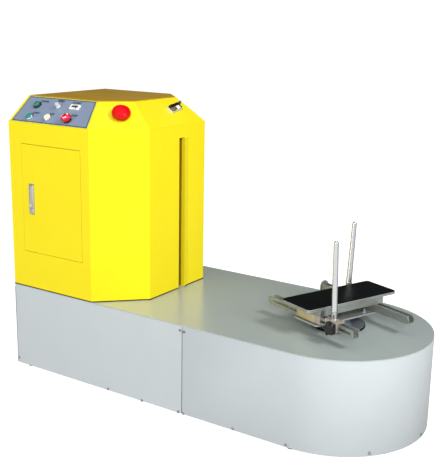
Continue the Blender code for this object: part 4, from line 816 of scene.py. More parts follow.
def makeSpeedKnob():
    # fluted grip over a round skirt: r = grip * (1 - 0.05 * (1 + cos(flutes a)) / 2), and a pointer line on top
    k, seat = speedKnob, panel["seat"] + 0.0005
    a = np.linspace(0, 2 * np.pi, 144, endpoint=False)[None, :]
    profile = roundedLine([(0, k["tail"]), (k["stem"], k["tail"]), (k["stem"], seat), (k["radius"], seat),
                           (k["radius"], seat + k["skirt"]), (k["grip"], seat + k["skirt"] + 0.0012),
                           (k["grip"] * 0.92, seat + k["top"]), (0, seat + k["top"])], 0.0008, 5)
    r, h = profile[:, :1], profile[:, 1:]
    flute = np.where((h > seat + k["skirt"] + 0.0006) & (h < seat + k["top"] - 0.0003), 1.0, 0.0)
    r = r * (1 - 0.06 * flute * (0.5 + 0.5 * np.cos(k["flutes"] * a)))
    points = np.stack([r * np.cos(a), r * np.sin(a), h + 0 * a], -1)
    place = onSlope(frontSlope, panel["speed"])
    makePiece("speed_grip", [gridShell(points, wrapColumns=True)], finish["greyPlastic"], "speed_dial", place,
              stands=["speed_knob"], slot="white_plastic")
    mark = slab(rectangle(0.0006, 0.0028, centre=(0, 0.0040)), seat + k["top"] - 0.0002, seat + k["top"] + 0.0002, 0.0001, 1)
    makePiece("speed_mark", [mark], finish["inkDark"], "speed_dial", place)


makeSpeedKnob()

counter = {"half": (0.024, 0.012), "face": 0.006, "window": (0.0172, 0.0062), "windowUp": 0.0022, "depth": -0.045,
           "body": (0.0225, 0.0105), "digits": "00247", "pitch": 0.0056}


def makeCounter():
    c, seat = counter, panel["seat"]
    face = seat + c["face"]
    outer = rectangle(*c["half"], 0.003)
    windowHole = rectangle(*c["window"], 0.0012, (0, c["windowUp"]))
    count = 96
    turn = np.linspace(0, 1, count, endpoint=False)

    def evenly(outline):
        # points at equal steps of length round an outline, starting on its right side
        closedLine = np.r_[outline, outline[:1]]
        run = np.r_[0, np.cumsum(np.linalg.norm(np.diff(closedLine, axis=0), axis=1))]
        return np.stack([np.interp(turn * run[-1], run, closedLine[:, axis]) for axis in (0, 1)], -1)

    outerLine, holeLine = evenly(outer), evenly(windowHole)
    rows = [np.c_[outerLine, np.full(count, seat)], np.c_[outerLine, np.full(count, face - 0.0012)],
            np.c_[insetLine(outerLine, 0.0008), np.full(count, face)], np.c_[holeLine, np.full(count, face)],
            np.c_[insetLine(holeLine, 0.0006), np.full(count, face - 0.0016)]]
    bezel = gridShell(np.array(rows), wrapColumns=True, caps=True)
    case = slab(rectangle(*c["body"], 0.002), c["depth"], seat, 0.001)
    place = onSlope(frontSlope, panel["counter"])
    makePiece("counter_case", [bezel, case], finish["whitePlastic"], "machine_frame", place, stands=["counter"],
              slot="white_plastic")
    glass = slab(rectangle(c["window"][0] - 0.0007, c["window"][1] - 0.0007, 0.0008, (0, c["windowUp"])),
                 face - 0.0016, face - 0.0012, 0.0001, 1)
    makePiece("counter_window", [glass], finish["blackPlastic"], "machine_frame", place)
    shells = []
    first = -(len(c["digits"]) - 1) / 2 * c["pitch"]
    for spot, digit in enumerate(c["digits"]):
        shells.append(lifted(wordShell(digit, 0.0068, 0.0001), (first + spot * c["pitch"], c["windowUp"], face - 0.0011)))
    makePiece("counter_digits", shells, finish["inkDim"], "machine_frame", place)
    knob = [(0, 0), (0.0022, 0), (0.0022, 0.0016), (0.0012, 0.0022), (0, 0.0022)]
    key = lifted(lathe(roundedLine(knob, 0.0004, 3), 32), (0.0105, -0.0076, face))
    makePiece("counter_reset", [key], finish["blackPlastic"], "machine_frame", place)


makeCounter()

panelStop = {"neck": 0.0108, "tail": -0.028, "low": 0.011, "radius": 0.020, "top": 0.030, "collar": 0.0165}
palmStop = {"neck": 0.0108, "tail": -0.028, "low": 0.012, "radius": 0.0365, "side": 0.0225, "rimTop": 0.0285,
            "groove": 0.0262, "top": 0.0345, "inner": 0.0292, "collar": 0.024}


def mushroomProfile(m, rest):
    # neck, flat underside with a rounded lip, and a dome of cos and sin of one angle
    drop = m["top"] - m["low"]
    b = np.linspace(0, np.pi / 2, 18)
    dome = np.stack([m["radius"] * np.cos(b) ** 0.9, rest + m["low"] + drop * (0.45 + 0.55 * np.sin(b))], -1)
    foot = roundedLine([(0, m["tail"]), (m["neck"], m["tail"]), (m["neck"], rest + m["low"]),
                        (m["radius"] - 0.0015, rest + m["low"]), (m["radius"], rest + m["low"] + 0.0015),
                        (m["radius"], rest + m["low"] + drop * 0.45)], 0.0008, 4)
    return np.r_[foot[:-1], dome[:-1], [(0, rest + m["top"])]]


def domeHeight(m, rest, r):
    # height of the dome over radius r, from the same two curves
    b = np.arccos(np.clip(r / m["radius"], 0, 1) ** (1 / 0.9))
    return rest + m["low"] + (m["top"] - m["low"]) * (0.45 + 0.55 * np.sin(b))


def makeStopArrows(m, rest, place, body):
    # three curved arrows laid on the dome: bands between two radii, each ending in a head that tapers to a point
    shells = []
    for start in np.radians((20, 140, 260)):
        along = np.r_[np.linspace(0, 0.68, 14), 0.68, np.linspace(0.68, 1, 8)[1:]]
        width = np.r_[np.full(14, 0.0016), 0.0034, np.linspace(0.0034, 0.0, 8)[1:]]
        angle = start + along * math.radians(86)
        side = np.linspace(-1, 1, 5)
        radius = 0.62 * m["radius"] + width[:, None] * side[None, :]
        height = domeHeight(m, rest, radius)
        flat = np.stack([radius * np.cos(angle)[:, None], radius * np.sin(angle)[:, None]], -1)
        top = np.concatenate([flat, (height + 0.00025)[..., None]], -1)
        under = np.concatenate([flat, (height - 0.0005)[..., None]], -1)
        around = np.concatenate([top, under[:, ::-1]], axis=1)
        shells.append(gridShell(around, wrapColumns=True, caps=True))
    makePiece("stop_arrows", shells, finish["inkLight"], body, place, sharp=60)


def makePalmStop(place):
    # neck and crown, h = groove + rise * cos(r), inside a rolled rim
    m = palmStop
    b = np.linspace(0, np.pi / 2, 16)
    rise = m["top"] - m["groove"]
    crown = np.stack([m["inner"] * np.cos(b), m["groove"] + rise * np.sin(b) ** 0.8], -1)
    neck = [(0, m["tail"]), (m["neck"], m["tail"]), (m["neck"], m["low"] + 0.001), (m["inner"], m["low"] + 0.001)]
    makePiece("palm_stop_cap", [lathe(np.r_[neck, crown], 128)], finish["redPlastic"], "palm_stop", place,
              stands=["palm_stop_head"], slot="red_plastic")
    rim = [(m["inner"] - 0.0006, m["low"]), (m["radius"] - 0.001, m["low"]), (m["radius"], m["low"] + 0.002),
           (m["radius"], m["side"]), (m["radius"] - 0.0025, m["rimTop"]), (m["inner"] + 0.0015, m["rimTop"]),
           (m["inner"] - 0.0006, m["groove"])]
    rim = roundedLine(rim, 0.0016, 5, closed=True)
    # the rim's darker orange red is painted shade and a painted reflection of the yellow tower
    makePiece("palm_stop_rim", [lathe(rim, 128, loop=True)], finish["rimRedShadeAndReflection"], "palm_stop", place)


def makeStops():
    place = onSlope(frontSlope, panel["stop"])
    rest = panel["seat"]
    makePiece("panel_stop_cap", [lathe(mushroomProfile(panelStop, rest), 96)], finish["crimsonPlastic"], "panel_stop", place,
              stands=["panel_stop_head"], slot="red_plastic")
    makeStopArrows(panelStop, rest, place, "panel_stop")
    collar = [(0.0113, rest), (panelStop["collar"], rest), (panelStop["collar"], rest + 0.0024),
              (panelStop["collar"] - 0.0012, rest + 0.0036), (0.0113, rest + 0.0036)]
    makePiece("panel_stop_collar", [lathe(roundedLine(collar, 0.0004, 3), 64, loop=True)], finish["blackPlastic"],
              "machine_frame", place)
    place = onSlope(chamferSlope, (0.129, 0.070))
    makePalmStop(place)
    rest = 0.0003
    collar = [(0.0113, rest), (palmStop["collar"], rest), (palmStop["collar"], rest + 0.0020),
              (palmStop["collar"] - 0.0012, rest + 0.0032), (0.0113, rest + 0.0032)]
    makePiece("palm_stop_collar", [lathe(roundedLine(collar, 0.0004, 3), 64, loop=True)], finish["blackPlastic"],
              "machine_frame", place)


makeStops()

sensor = {"spot": (0.0580, 0.0850), "turn": math.radians(9), "half": (0.0430, 0.0168), "rim": 0.0100, "sheet": 0.0022,
          "floor": 0.0036, "case": (0.0395, 0.0060), "caseUp": 0.0082, "top": 0.0195, "ribUp": -0.0062,
          "ribHalf": (0.0015, 0.0076), "ribs": -0.0360, "ribPitch": 0.0058, "blocks": (0.0035, 0.0165), "lens": 0.0305,
          "adjuster": 0.0370}


def makeSensor():
    # bracket, case along its upper side, and below it ribs, two blocks and a lens; screw at the upper corner
    s = sensor
    turned = (math.cos(s["turn"]), math.sin(s["turn"]))
    place = onSlope(rightSlope, s["spot"]) @ frameOf((0, 0, 0), (*turned, 0), (-turned[1], turned[0], 0), (0, 0, 1))
    wall = [(0, 0.0004), (0, s["rim"]), (s["sheet"], s["rim"]), (s["sheet"], s["floor"])]
    # the bracket's pale cream is a painted sheen standing in for chrome
    makePiece("sensor_bracket", [stack(rectangle(*s["half"], 0.004), wall)], finish["paleTraySheen"], "machine_frame", place,
              stands=["sensor_tray"], slot="zinc_steel")
    case = slab(rectangle(*s["case"], 0.002, (0, s["caseUp"])), s["floor"], s["top"], 0.0012)
    makePiece("sensor_case", [case], finish["blackPlastic"], "machine_frame", place, stands=["height_sensor"],
              slot="black_plastic")
    ribs = [slab(rectangle(*s["ribHalf"], 0.0008, (x, s["ribUp"])), s["floor"], 0.0165, 0.0006)
            for x in np.arange(6) * s["ribPitch"] + s["ribs"]]
    makePiece("sensor_ribs", ribs, finish["ribBrown"], "machine_frame", place)
    blocks = [slab(rectangle(0.0042, 0.0072, 0.001, (x, s["ribUp"])), s["floor"], 0.0175, 0.0008) for x in s["blocks"]]
    makePiece("sensor_blocks", blocks, finish["whitePlastic"], "machine_frame", place)
    lens = roundedLine([(0, 0.004), (0.0058, 0.004), (0.0058, 0.0150), (0.0044, 0.0158), (0.0038, 0.0146), (0, 0.0142)], 0.0004, 3)
    makePiece("sensor_lens", [lifted(lathe(lens, 48), (s["lens"], s["ribUp"], 0))], finish["blackPlastic"], "machine_frame", place)
    screw = roundedLine([(0, 0.016), (0.0052, 0.016), (0.0052, 0.0262), (0.0036, 0.0275), (0, 0.0275)], 0.0006, 4)
    makePiece("sensor_adjuster", [lifted(lathe(screw, 40), (s["adjuster"], s["caseUp"], 0))], finish["framePaint"], "machine_frame", place)


makeSensor()
print("panel and hood fittings done")

# door lock
def makeLock():
    low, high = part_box("lock_housing")
    middle = ((low.x + high.x) / 2, (low.z + high.z) / 2)
    half = ((high.x - low.x) / 2, (high.z - low.z) / 2)
    # local frame: x along the door, y up it, z out of it
    place = frameOf((middle[0], high.y, middle[1]), (1, 0, 0), (0, 0, 1), (0, -1, 0))
    depth = high.y - low.y
    outer = rectangle(*half, 0.006, steps=8)
    steps = [(0, 0), (0, depth - 0.0012), (0.0010, depth), (0.0028, depth), (0.0030, depth - 0.0006), (0.0030, depth - 0.0119)]
    makePiece("lock_case", [stack(outer, steps)], finish["satinChrome"], "film_door", place, stands=["lock_housing"],
              slot="bright_steel")

    # lever: a bar whose front dips in a shallow finger scoop near its lower end
    leverLow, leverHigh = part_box("lock_lever")
    length = leverHigh.z - leverLow.z
    width = leverHigh.x - leverLow.x
    thickness = leverHigh.y - leverLow.y
    u = np.linspace(0, 1, 60)
    across = np.linspace(-1, 1, 15)
    scoop = 0.0028 * np.exp(-(((u - 0.16) / 0.10) ** 2))[:, None] * (1 - across[None, :] ** 4)
    edge = 0.0012 * (np.abs(across[None, :]) ** 8 + np.abs(2 * u[:, None] - 1) ** 40)
    front = thickness - scoop - edge
    x = (across * width / 2)[None, :] + 0 * u[:, None]
    z = (u * length)[:, None] + 0 * across[None, :]
    top = np.stack([x, z, front], -1)
    under = np.stack([x, z, 0 * front], -1)
    bar = gridShell(np.concatenate([top, under[:, ::-1]], axis=1), wrapColumns=True, caps=True)
    place = frameOf((middle[0], leverHigh.y, leverLow.z), (1, 0, 0), (0, 0, 1), (0, -1, 0))
    makePiece("lock_handle", [bar], finish["satinChrome"], "door_lever", place, stands=["lock_lever"], slot="bright_steel")

    # button with a key cylinder in it
    buttonLow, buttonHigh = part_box("lock_button")
    half = ((buttonHigh.x - buttonLow.x) / 2, (buttonHigh.z - buttonLow.z) / 2)
    place = frameOf((middle[0], buttonHigh.y, (buttonLow.z + buttonHigh.z) / 2), (1, 0, 0), (0, 0, 1), (0, -1, 0))
    depth = buttonHigh.y - buttonLow.y
    pad = slab(rectangle(*half, 0.004, steps=8), 0, depth - 0.0004, 0.0009)
    makePiece("lock_push", [pad], finish["satinChrome"], "door_button", place, stands=["lock_button"], slot="bright_steel")
    barrel = roundedLine([(0, depth - 0.001), (0.0062, depth - 0.001), (0.0062, depth + 0.0002), (0, depth + 0.0002)], 0.0003, 2)
    makePiece("lock_barrel", [lathe(barrel, 48)], finish["zincClear"], "door_button", place)
    # black slab on the barrel: painted shade of the key slot
    key = slab(rectangle(0.0008, 0.0034), depth + 0.0002, depth + 0.0004, 0.00005, 1)
    makePiece("lock_keyway_shade", [key], finish["blackPlastic"], "door_button", place)


makeLock()

# screws
skirtScrew = {"radius": 0.0058, "height": 0.0030, "recess": 0.0015, "arm": 0.0009, "reach": 0.0032}


def screwHead(look):
    # dome h = height * sqrt(1 - (r/R)^2), less a cross recess that fades out from its arms
    r = np.linspace(0, 1, 15)[:, None] ** 0.8
    a = np.linspace(0, 2 * np.pi, 64, endpoint=False)[None, :]
    x, y = look["radius"] * r * np.cos(a), look["radius"] * r * np.sin(a)
    dome = look["height"] * np.sqrt(np.clip(1 - 0.92 * r**2, 0, 1)) + 0 * a
    arm = np.minimum(np.abs(x), np.abs(y))
    far = np.maximum(np.abs(x), np.abs(y))
    sunk = np.clip((look["arm"] - arm) / 0.0003, 0, 1) * np.clip((look["reach"] - far) / 0.0004, 0, 1)
    top = np.stack([x, y, dome - look["recess"] * sunk], -1)
    base = top[-1:] * (1, 1, 0)
    middle = base * 0
    return gridShell(np.concatenate([top, base, middle]), wrapColumns=True)


def wallFrame(x, y, z, outward):
    out = np.array([*outward, 0.0]) / np.linalg.norm(outward)
    return frameOf((x, y, z), np.cross((0, 0, 1), out), (0, 0, 1), out)


def makeScrews():
    shells = []
    head = screwHead(skirtScrew)
    front = machine["front"]
    spots = [(0.008, 0.028), (0.511, 0.012), (0.684, 0.009), (0.860, 0.010), (0.884, 0.010), (1.107, 0.012), (1.329, 0.015),
             (0.866, 0.340), (0.885, 0.337)]
    for along, height in spots:
        shells.append(moved(head, wallFrame(machine["towerEnd"] + along, front, height, (0, -1))))
        shells.append(moved(head, wallFrame(machine["towerEnd"] + along, -front, height, (0, 1))))
    for degrees in (-43, 0, 43):
        a = math.radians(degrees)
        x, y = machine["turn"][0] + 0.350 * math.cos(a), 0.350 * math.sin(a)
        shells.append(moved(head, wallFrame(x - 0.0002 * math.cos(a), y - 0.0002 * math.sin(a), 0.018, (math.cos(a), math.sin(a)))))
    for y in (-0.325, 0.0, 0.325):
        for z in (0.020, 0.335):
            shells.append(moved(head, wallFrame(machine["towerEnd"], y, z, (-1, 0))))
    makePiece("skirt_screws", shells, finish["darkZinc"], "machine_frame")
    shells = []
    for y in (-0.335, 0.335):
        for z in (0.40, 0.61, 0.82, 1.02):
            shells.append(moved(head, wallFrame(machine["towerEnd"], y, z, (-1, 0))))
    for y in (-0.215, 0.0, 0.215):
        shells.append(moved(head, wallFrame(machine["towerEnd"], y, 1.105, (-1, 0))))
        shells.append(moved(head, wallFrame(machine["towerEnd"], y, 0.375, (-1, 0))))
    makePiece("end_wall_screws", shells, finish["zincClear"], "machine_frame")


makeScrews()

# dark strips at the joints between the skirts, painted shade of the narrow gaps there, and a dark seal under the tower,
# its dark brown painted shade where the wall meets the deck
jointShade = {"half": 0.0012, "low": 0.008, "high": 0.346, "proud": 0.0002}


def makeJointShade():
    shells = []
    middle, half = (jointShade["low"] + jointShade["high"]) / 2, (jointShade["high"] - jointShade["low"]) / 2
    for way in (-1, 1):
        strip = slab(rectangle(jointShade["half"], half), -0.0002, jointShade["proud"], 0.0001, 1)
        for x in (machine["seam"], machine["towerEnd"] + jointShade["half"]):
            shells.append(moved(strip, wallFrame(x, -way * machine["front"], middle, (0, way))))
    makePiece("skirt_joint_shade", shells, finish["seamShade"], "machine_frame")


makeJointShade()

seal = {"proud": 0.0010, "height": 0.0036, "slot": (0.0051, 0.0416), "lip": (0.006, 0.027)}


def makeSeal():
    right, chamfer, front = machine["towerRight"], machine["chamfer"], machine["front"]
    path = [(machine["towerEnd"], front), (right - chamfer, front), (right, front + chamfer), (right, seal["slot"][0])]
    rest = [(right + seal["lip"][0], seal["slot"][1]), (right, seal["slot"][1] + seal["lip"][1]), (right, -front - chamfer),
            (right - chamfer, -front), (machine["towerEnd"], -front)]
    low = machine["deck"] + 0.0001
    section = [(-seal["proud"], low), (-seal["proud"], low + seal["height"]), (-0.0001, low + seal["height"] + 0.0004), (-0.0001, low)]
    # the seal's dark brown is painted shade where the wall meets the deck
    makePiece("tower_seal", [folded(path, section), folded(rest, section)], finish["sealBrownShade"], "machine_frame")


makeSeal()

# brown strip along the far side of the film slot, behind the jamb; its dark brown is painted shade inside the slot
slotShadeStrip = {"from": -0.2624, "depth": 0.020, "side": 0.0420, "sheet": 0.0024, "low": 0.3608, "high": 0.985}


def makeSlotShadeStrip():
    s = slotShadeStrip
    outline = rectangle(s["depth"] / 2, s["sheet"] / 2, 0.0008, (s["from"] - s["depth"] / 2, s["side"] + s["sheet"] / 2), 2)
    makePiece("slot_shade_strip", [slab(outline, s["low"], s["high"], 0.0005)], finish["slotShadeBrown"], "machine_frame")


makeSlotShadeStrip()

# turntable carrier: along the rails, across them, up from the deck
carrierFrame = frameOf(
    (*machine["turn"], machine["deck"]),
    (math.cos(machine["restAngle"]), math.sin(machine["restAngle"]), 0),
    (-math.sin(machine["restAngle"]), math.cos(machine["restAngle"]), 0),
    (0, 0, 1),
)
nearFrame = carrierFrame @ frameOf((0, 0, 0), (-1, 0, 0), (0, -1, 0), (0, 0, 1))
sideFrames = {"near": nearFrame, "far": carrierFrame}
carrier = {"railBottom": 0.0483, "railTop": 0.0793, "railFace": 0.150, "railMiddleY": 0.135, "railWidth": 0.030,
           "postAlong": {"near": 0.122, "far": 0.100}, "gap": 0.0003}


mat = {"half": (0.0765, 0.2135), "corner": 0.0125}


def makeMat():
    low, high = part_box("rubber_mat")
    outline = rectangle(*mat["half"], mat["corner"], steps=8)
    base = low.z - machine["deck"]
    makePiece("mat_pad", [slab(outline, base, high.z - machine["deck"], 0.0013, 5)], finish["blackRubber"], "turntable",
              carrierFrame, stands=["rubber_mat"], slot="black_rubber")


hub = {"radius": 0.097, "low": 0.364, "high": 0.370, "boss": 0.045, "bossTop": 0.4017, "shaft": 0.025, "end": 0.2543,
       "rim": 0.0995, "bolts": [(-0.045, -0.085), (-0.045, 0.085), (0.045, -0.085), (0.045, 0.085)], "plateTop": 0.0480}


def makeHub():
    h = hub
    profile = [(0, h["end"]), (h["shaft"], h["end"]), (h["shaft"], h["low"]), (h["radius"], h["low"]),
               (h["radius"], h["high"]), (h["boss"] + 0.016, h["high"]), (h["boss"] + 0.014, h["high"] - 0.0015),
               (h["boss"] + 0.004, h["high"] - 0.0015), (h["boss"], h["high"] + 0.004), (h["boss"], h["bossTop"]),
               (0, h["bossTop"])]
    # the disc's dark blue grey includes painted shadow of the carrier
    turnedPiece("hub_disc", profile, finish["hubSteelShadowed"], "turntable", machine["turn"], 0.0015, 128,
                stands=["spindle"], slot="zinc_steel")

    # black ring round the disc's edge
    edgeRing = [(h["radius"] + 0.0002, h["low"] - 0.001), (h["rim"], h["low"] - 0.001), (h["rim"], h["high"] - 0.001),
            (h["radius"] + 0.0002, h["high"])]
    turnedPiece("hub_edge_ring", edgeRing, finish["blackRubber"], "turntable", machine["turn"], 0.0004, 128, loop=True)
    washer = lathe(roundedLine([(0, 0), (0.0095, 0), (0.0095, 0.0012), (0, 0.0012)], 0.0003, 2), 40)
    stud = threadShell(0.0042, 0.0004, 0.0012, 0.005, 0.0145, 20)
    shells = []
    for spot in h["bolts"]:
        seat = (*spot, h["plateTop"])
        shells += [lifted(washer, seat), lifted(hexHead(0.0075, 0.0012, 0.0052), seat), lifted(stud, seat)]
    makePiece("cross_plate_bolts", shells, finish["zincClear"], "turntable", carrierFrame)


railStop = {"along": -0.2335, "half": 0.0215, "sheet": 0.003, "low": 0.0515, "shoulder": 0.0700}


def makeRailStop():
    # plate across the far rail's open end: straight sides below, a half circle above
    s = railStop
    a = np.linspace(0, np.pi, 25)
    arch = np.stack([s["half"] * np.cos(a), s["shoulder"] + s["half"] * np.sin(a)], -1)
    outline = np.r_[arch, [(-s["half"], s["low"]), (s["half"], s["low"])]]
    place = carrierFrame @ frameOf((s["along"] - 0.0050, carrier["railMiddleY"], 0), (0, 1, 0), (0, 0, 1), (1, 0, 0))
    makePiece("rail_stop", [slab(outline, 0, s["sheet"], 0.0006)], finish["zincWarm"], "turntable", place)


railPlate = {"saddle": (-0.0418, 0.0576), "front": (-0.0690, -0.0424), "low": 0.0508, "high": 0.0790,
             "rail": 0.1502, "face": 0.1553, "proud": 0.0002}


def makeRailPlates(name):
    # tan sheet over the saddle's face, its tan a painted reflection of the yellow tower, and a thicker plate from the
    # saddle to the post's nearest place
    p = railPlate
    tall = ((p["high"] + p["low"]) / 2, (p["high"] - p["low"]) / 2)

    def plate(ends, depths):
        middle, half = (ends[0] + ends[1]) / 2, (ends[1] - ends[0]) / 2
        face = frameOf((middle, 0, tall[0]), (-1, 0, 0), (0, 0, 1), (0, 1, 0))
        return moved(slab(rectangle(half, tall[1], 0.0008), *depths, 0.00008), face)

    sheet = plate(p["saddle"], (p["face"] - 0.0004, p["face"] + p["proud"]))
    makePiece(name + "_saddle_reflection_sheet", [sheet], finish["tanZincReflection"], "turntable", sideFrames[name])
    makePiece(name + "_rail_plate", [plate(p["front"], (p["rail"], p["face"]))], finish["pinkZinc"], "turntable", sideFrames[name])


boxSlotShade = {"face": 0.0700, "along": (-0.1465, -0.1395, -0.1325), "half": (0.0016, 0.0085), "middle": 0.0945, "proud": 0.0002}


def makeBoxSlotShade():
    # three upright black patches near one end of each long side of the platform box: painted shade standing in for
    # slots
    shells = []
    for turn in (1, -1):
        for along in boxSlotShade["along"]:
            face = frameOf((turn * boxSlotShade["face"], turn * along, boxSlotShade["middle"]), (0, turn, 0), (0, 0, 1), (turn, 0, 0))
            slot = slab(rectangle(*boxSlotShade["half"], 0.0014), -0.0001, boxSlotShade["proud"], 0.0001, 1)
            shells.append(moved(slot, face))
    makePiece("platform_slot_shade", shells, finish["blackPlastic"], "turntable", carrierFrame)


post = {"radius": 0.011, "tip": 0.0085, "length": {"near": 0.290, "far": 0.279}, "ringAt": 0.034, "ringProud": 0.0016,
        "splay": {"near": math.radians(1.6), "far": math.radians(3.3)}, "ringWidth": 0.006}
foot = {"ahead": 0.036, "behind": 0.022, "sheet": 0.006, "studAhead": 0.020, "studEnd": 0.1783, "stud": 0.004,
        "headIn": 0.1415, "headOut": 0.1465, "tee": (0.010, 0.009)}


def makePost(name):
    # tube tapering to a round end, with a ring above its foot, leaning out; angle foot with a bent corner; tee bolt
    seat = carrier["railTop"] + carrier["gap"]
    root = foot["sheet"] / 2
    dome = post["length"][name] - post["tip"]
    slope = (post["tip"] - post["radius"]) / (dome - root)
    b = np.linspace(0, np.pi / 2, 12)
    end = np.stack([post["tip"] * np.cos(b), dome + post["tip"] * np.sin(b)], -1)
    low, high = post["ringAt"], post["ringAt"] + post["ringWidth"]
    inner = post["radius"] + slope * (low - root)
    outer = inner + post["ringProud"]
    shaft = roundedLine([(0, root), (post["radius"], root), (inner, low), (outer, low + 0.0008), (outer, high - 0.0008),
                         (inner, high), (post["tip"], dome)], 0.0006, 3)
    spot = (-carrier["postAlong"][name], carrier["railMiddleY"], 0)
    tilt = (math.sin(post["splay"][name]), math.cos(post["splay"][name]))
    leaning = frameOf((spot[0], spot[1], seat), (1, 0, 0), (0, tilt[1], -tilt[0]), (0, tilt[0], tilt[1]))
    tube = moved(lathe(np.r_[shaft, end[1:]], 48), leaning)
    face = carrier["railFace"] + carrier["gap"]
    back = carrier["railMiddleY"] - carrier["railWidth"] / 2
    outer, top = face + foot["sheet"], seat + foot["sheet"]
    angle = np.array([(back, seat), (face, seat), (face, carrier["railBottom"]), (outer, carrier["railBottom"]), (outer, top), (back, top)])
    bend = roundedLine(angle, np.array([0.001, 0.0002, 0.001, 0.001, 0.005, 0.001]), 5, closed=True)
    ends = np.array([spot[0] - foot["ahead"], spot[0] + foot["behind"]])
    low, high = ends
    rows = [(low, 0.0008), (low + 0.0008, 0.0), (high - 0.0008, 0.0), (high, 0.0008)]
    grid = np.array([np.c_[np.full(len(bend), x), insetLine(bend[::-1], inset)] for x, inset in rows])
    bracket = gridShell(grid, wrapColumns=True, caps=True)
    boltX = spot[0] - foot["studAhead"]
    middleZ = (carrier["railBottom"] + carrier["railTop"]) / 2
    sideways = frameOf((boltX, 0, middleZ), (1, 0, 0), (0, 0, -1), (0, 1, 0))
    stud = moved(lathe(roundedLine([(0, foot["headIn"]), (foot["stud"], foot["headIn"]), (foot["stud"], foot["studEnd"]),
                                    (0, foot["studEnd"])], 0.0008, 3), 32), sideways)
    tee = moved(slab(rectangle(*foot["tee"], 0.002), foot["headIn"], foot["headOut"], 0.0005), sideways)
    makePiece(name + "_post_tube", [tube], finish["drawnSteel"], name + "_clamp", sideFrames[name], stands=[name + "_post"],
              slot="bright_steel")
    makePiece(name + "_post_foot", [bracket, stud, tee], finish["pinkZinc"], name + "_clamp", sideFrames[name])
    bead = [(post["radius"] - 0.0008, 0.0057), (post["radius"] + 0.0022, 0.0057), (post["radius"] - 0.0008, 0.0088)]
    bead = moved(lathe(roundedLine(bead, 0.0006, 3), 48, loop=True), leaning)
    makePiece(name + "_post_weld", [bead], finish["zincClear"], name + "_clamp", sideFrames[name])


star = {"radius": 0.0225, "lobe": 0.0035, "lobes": 5, "thickness": 0.020, "hub": 0.012, "hubLength": 0.007, "edge": 0.004}


def makeStarKnob(name):
    # r = s (R + lobe cos(5a)), s and height following a rounded rim; crown dished in the middle
    a = np.linspace(0, 2 * np.pi, 160, endpoint=False)[None, :]
    hubLow = carrier["railFace"] + carrier["gap"] + foot["sheet"] + carrier["gap"]
    low = hubLow + star["hubLength"]
    high = low + star["thickness"]
    b = np.linspace(0, np.pi / 2, 7)
    edge = star["edge"]
    full = star["radius"]
    rim = [(star["hub"] / full, low)]
    rim += [(1 - edge / full * (1 - math.sin(t)), low + edge * (1 - math.cos(t))) for t in b]
    rim += [(1 - edge / full * (1 - math.cos(t)), high - edge * (1 - math.sin(t))) for t in b]
    rim += [(0.55, high + 0.0002), (0.42, high - 0.0012), (0.0, high - 0.0012)]
    rim = np.array(rim)
    wave = 1 + star["lobe"] / full * np.cos(star["lobes"] * a)
    share = np.clip((rim[:, :1] - 0.45) / 0.35, 0, 1)
    radius = full * rim[:, :1] * (1 + share * (wave - 1))
    stem = np.array([(0.0045, hubLow + 0.0003), (star["hub"] - 0.001, hubLow), (star["hub"], hubLow + 0.001), (star["hub"], low)])
    stemRadius = np.broadcast_to(stem[:, :1], (4, 160))
    r = np.concatenate([np.zeros((1, 160)), np.full((1, 160), 0.0045), stemRadius, radius])
    h = np.concatenate([[foot["studEnd"] + 0.0005], [foot["studEnd"] + 0.0005], stem[:, 1], rim[:, 1]])[:, None] + 0 * a
    points = np.stack([r * np.cos(a), r * np.sin(a), h], -1)
    boltX = -carrier["postAlong"][name] - foot["studAhead"]
    middleZ = (carrier["railBottom"] + carrier["railTop"]) / 2
    place = sideFrames[name] @ frameOf((boltX, 0, middleZ), (1, 0, 0), (0, 0, -1), (0, 1, 0))
    makePiece(name + "_star", [gridShell(points, wrapColumns=True)], finish["blackPlastic"], name + "_clamp_knob", place,
              sharp=50, stands=[name + "_knob"], slot="black_plastic")


makeMat()
makeHub()
makeBoxSlotShade()
makeRailStop()
for name in ("near", "far"):
    makeRailPlates(name)
    makePost(name)
    makeStarKnob(name)
print("carrier done")

# drive under the deck
drive = {"turn": machine["turn"], "motor": (machine["seam"], 0.0), "low": 0.2653, "high": 0.2813, "driven": 0.090,
         "driver": 0.030, "bore": 0.0253, "motorBore": 0.0093, "beltRun": 0.0005, "beltThick": 0.005, "beltWidth": 0.012}


def makePulleys():
    # rim, recessed web and hub, the same on both faces
    d = drive
    dish = 0.004
    face = [(d["bore"], d["low"]), (0.040, d["low"]), (0.042, d["low"] + dish), (0.074, d["low"] + dish), (0.076, d["low"]),
            (d["driven"], d["low"]), (d["driven"], d["high"]), (0.076, d["high"]), (0.074, d["high"] - dish),
            (0.042, d["high"] - dish), (0.040, d["high"]), (d["bore"], d["high"])]
    turnedPiece("driven_wheel", face, finish["aluminium"], "turntable", d["turn"], 0.0006, 96, True,
                stands=["driven_pulley"], slot="aluminium")
    face = [(d["motorBore"], d["low"]), (d["driver"], d["low"]), (d["driver"], d["high"]), (d["motorBore"], d["high"])]
    turnedPiece("motor_wheel", face, finish["aluminium"], "drive_pulley", d["motor"], 0.0008, 64, True,
                stands=["motor_pulley"], slot="aluminium")


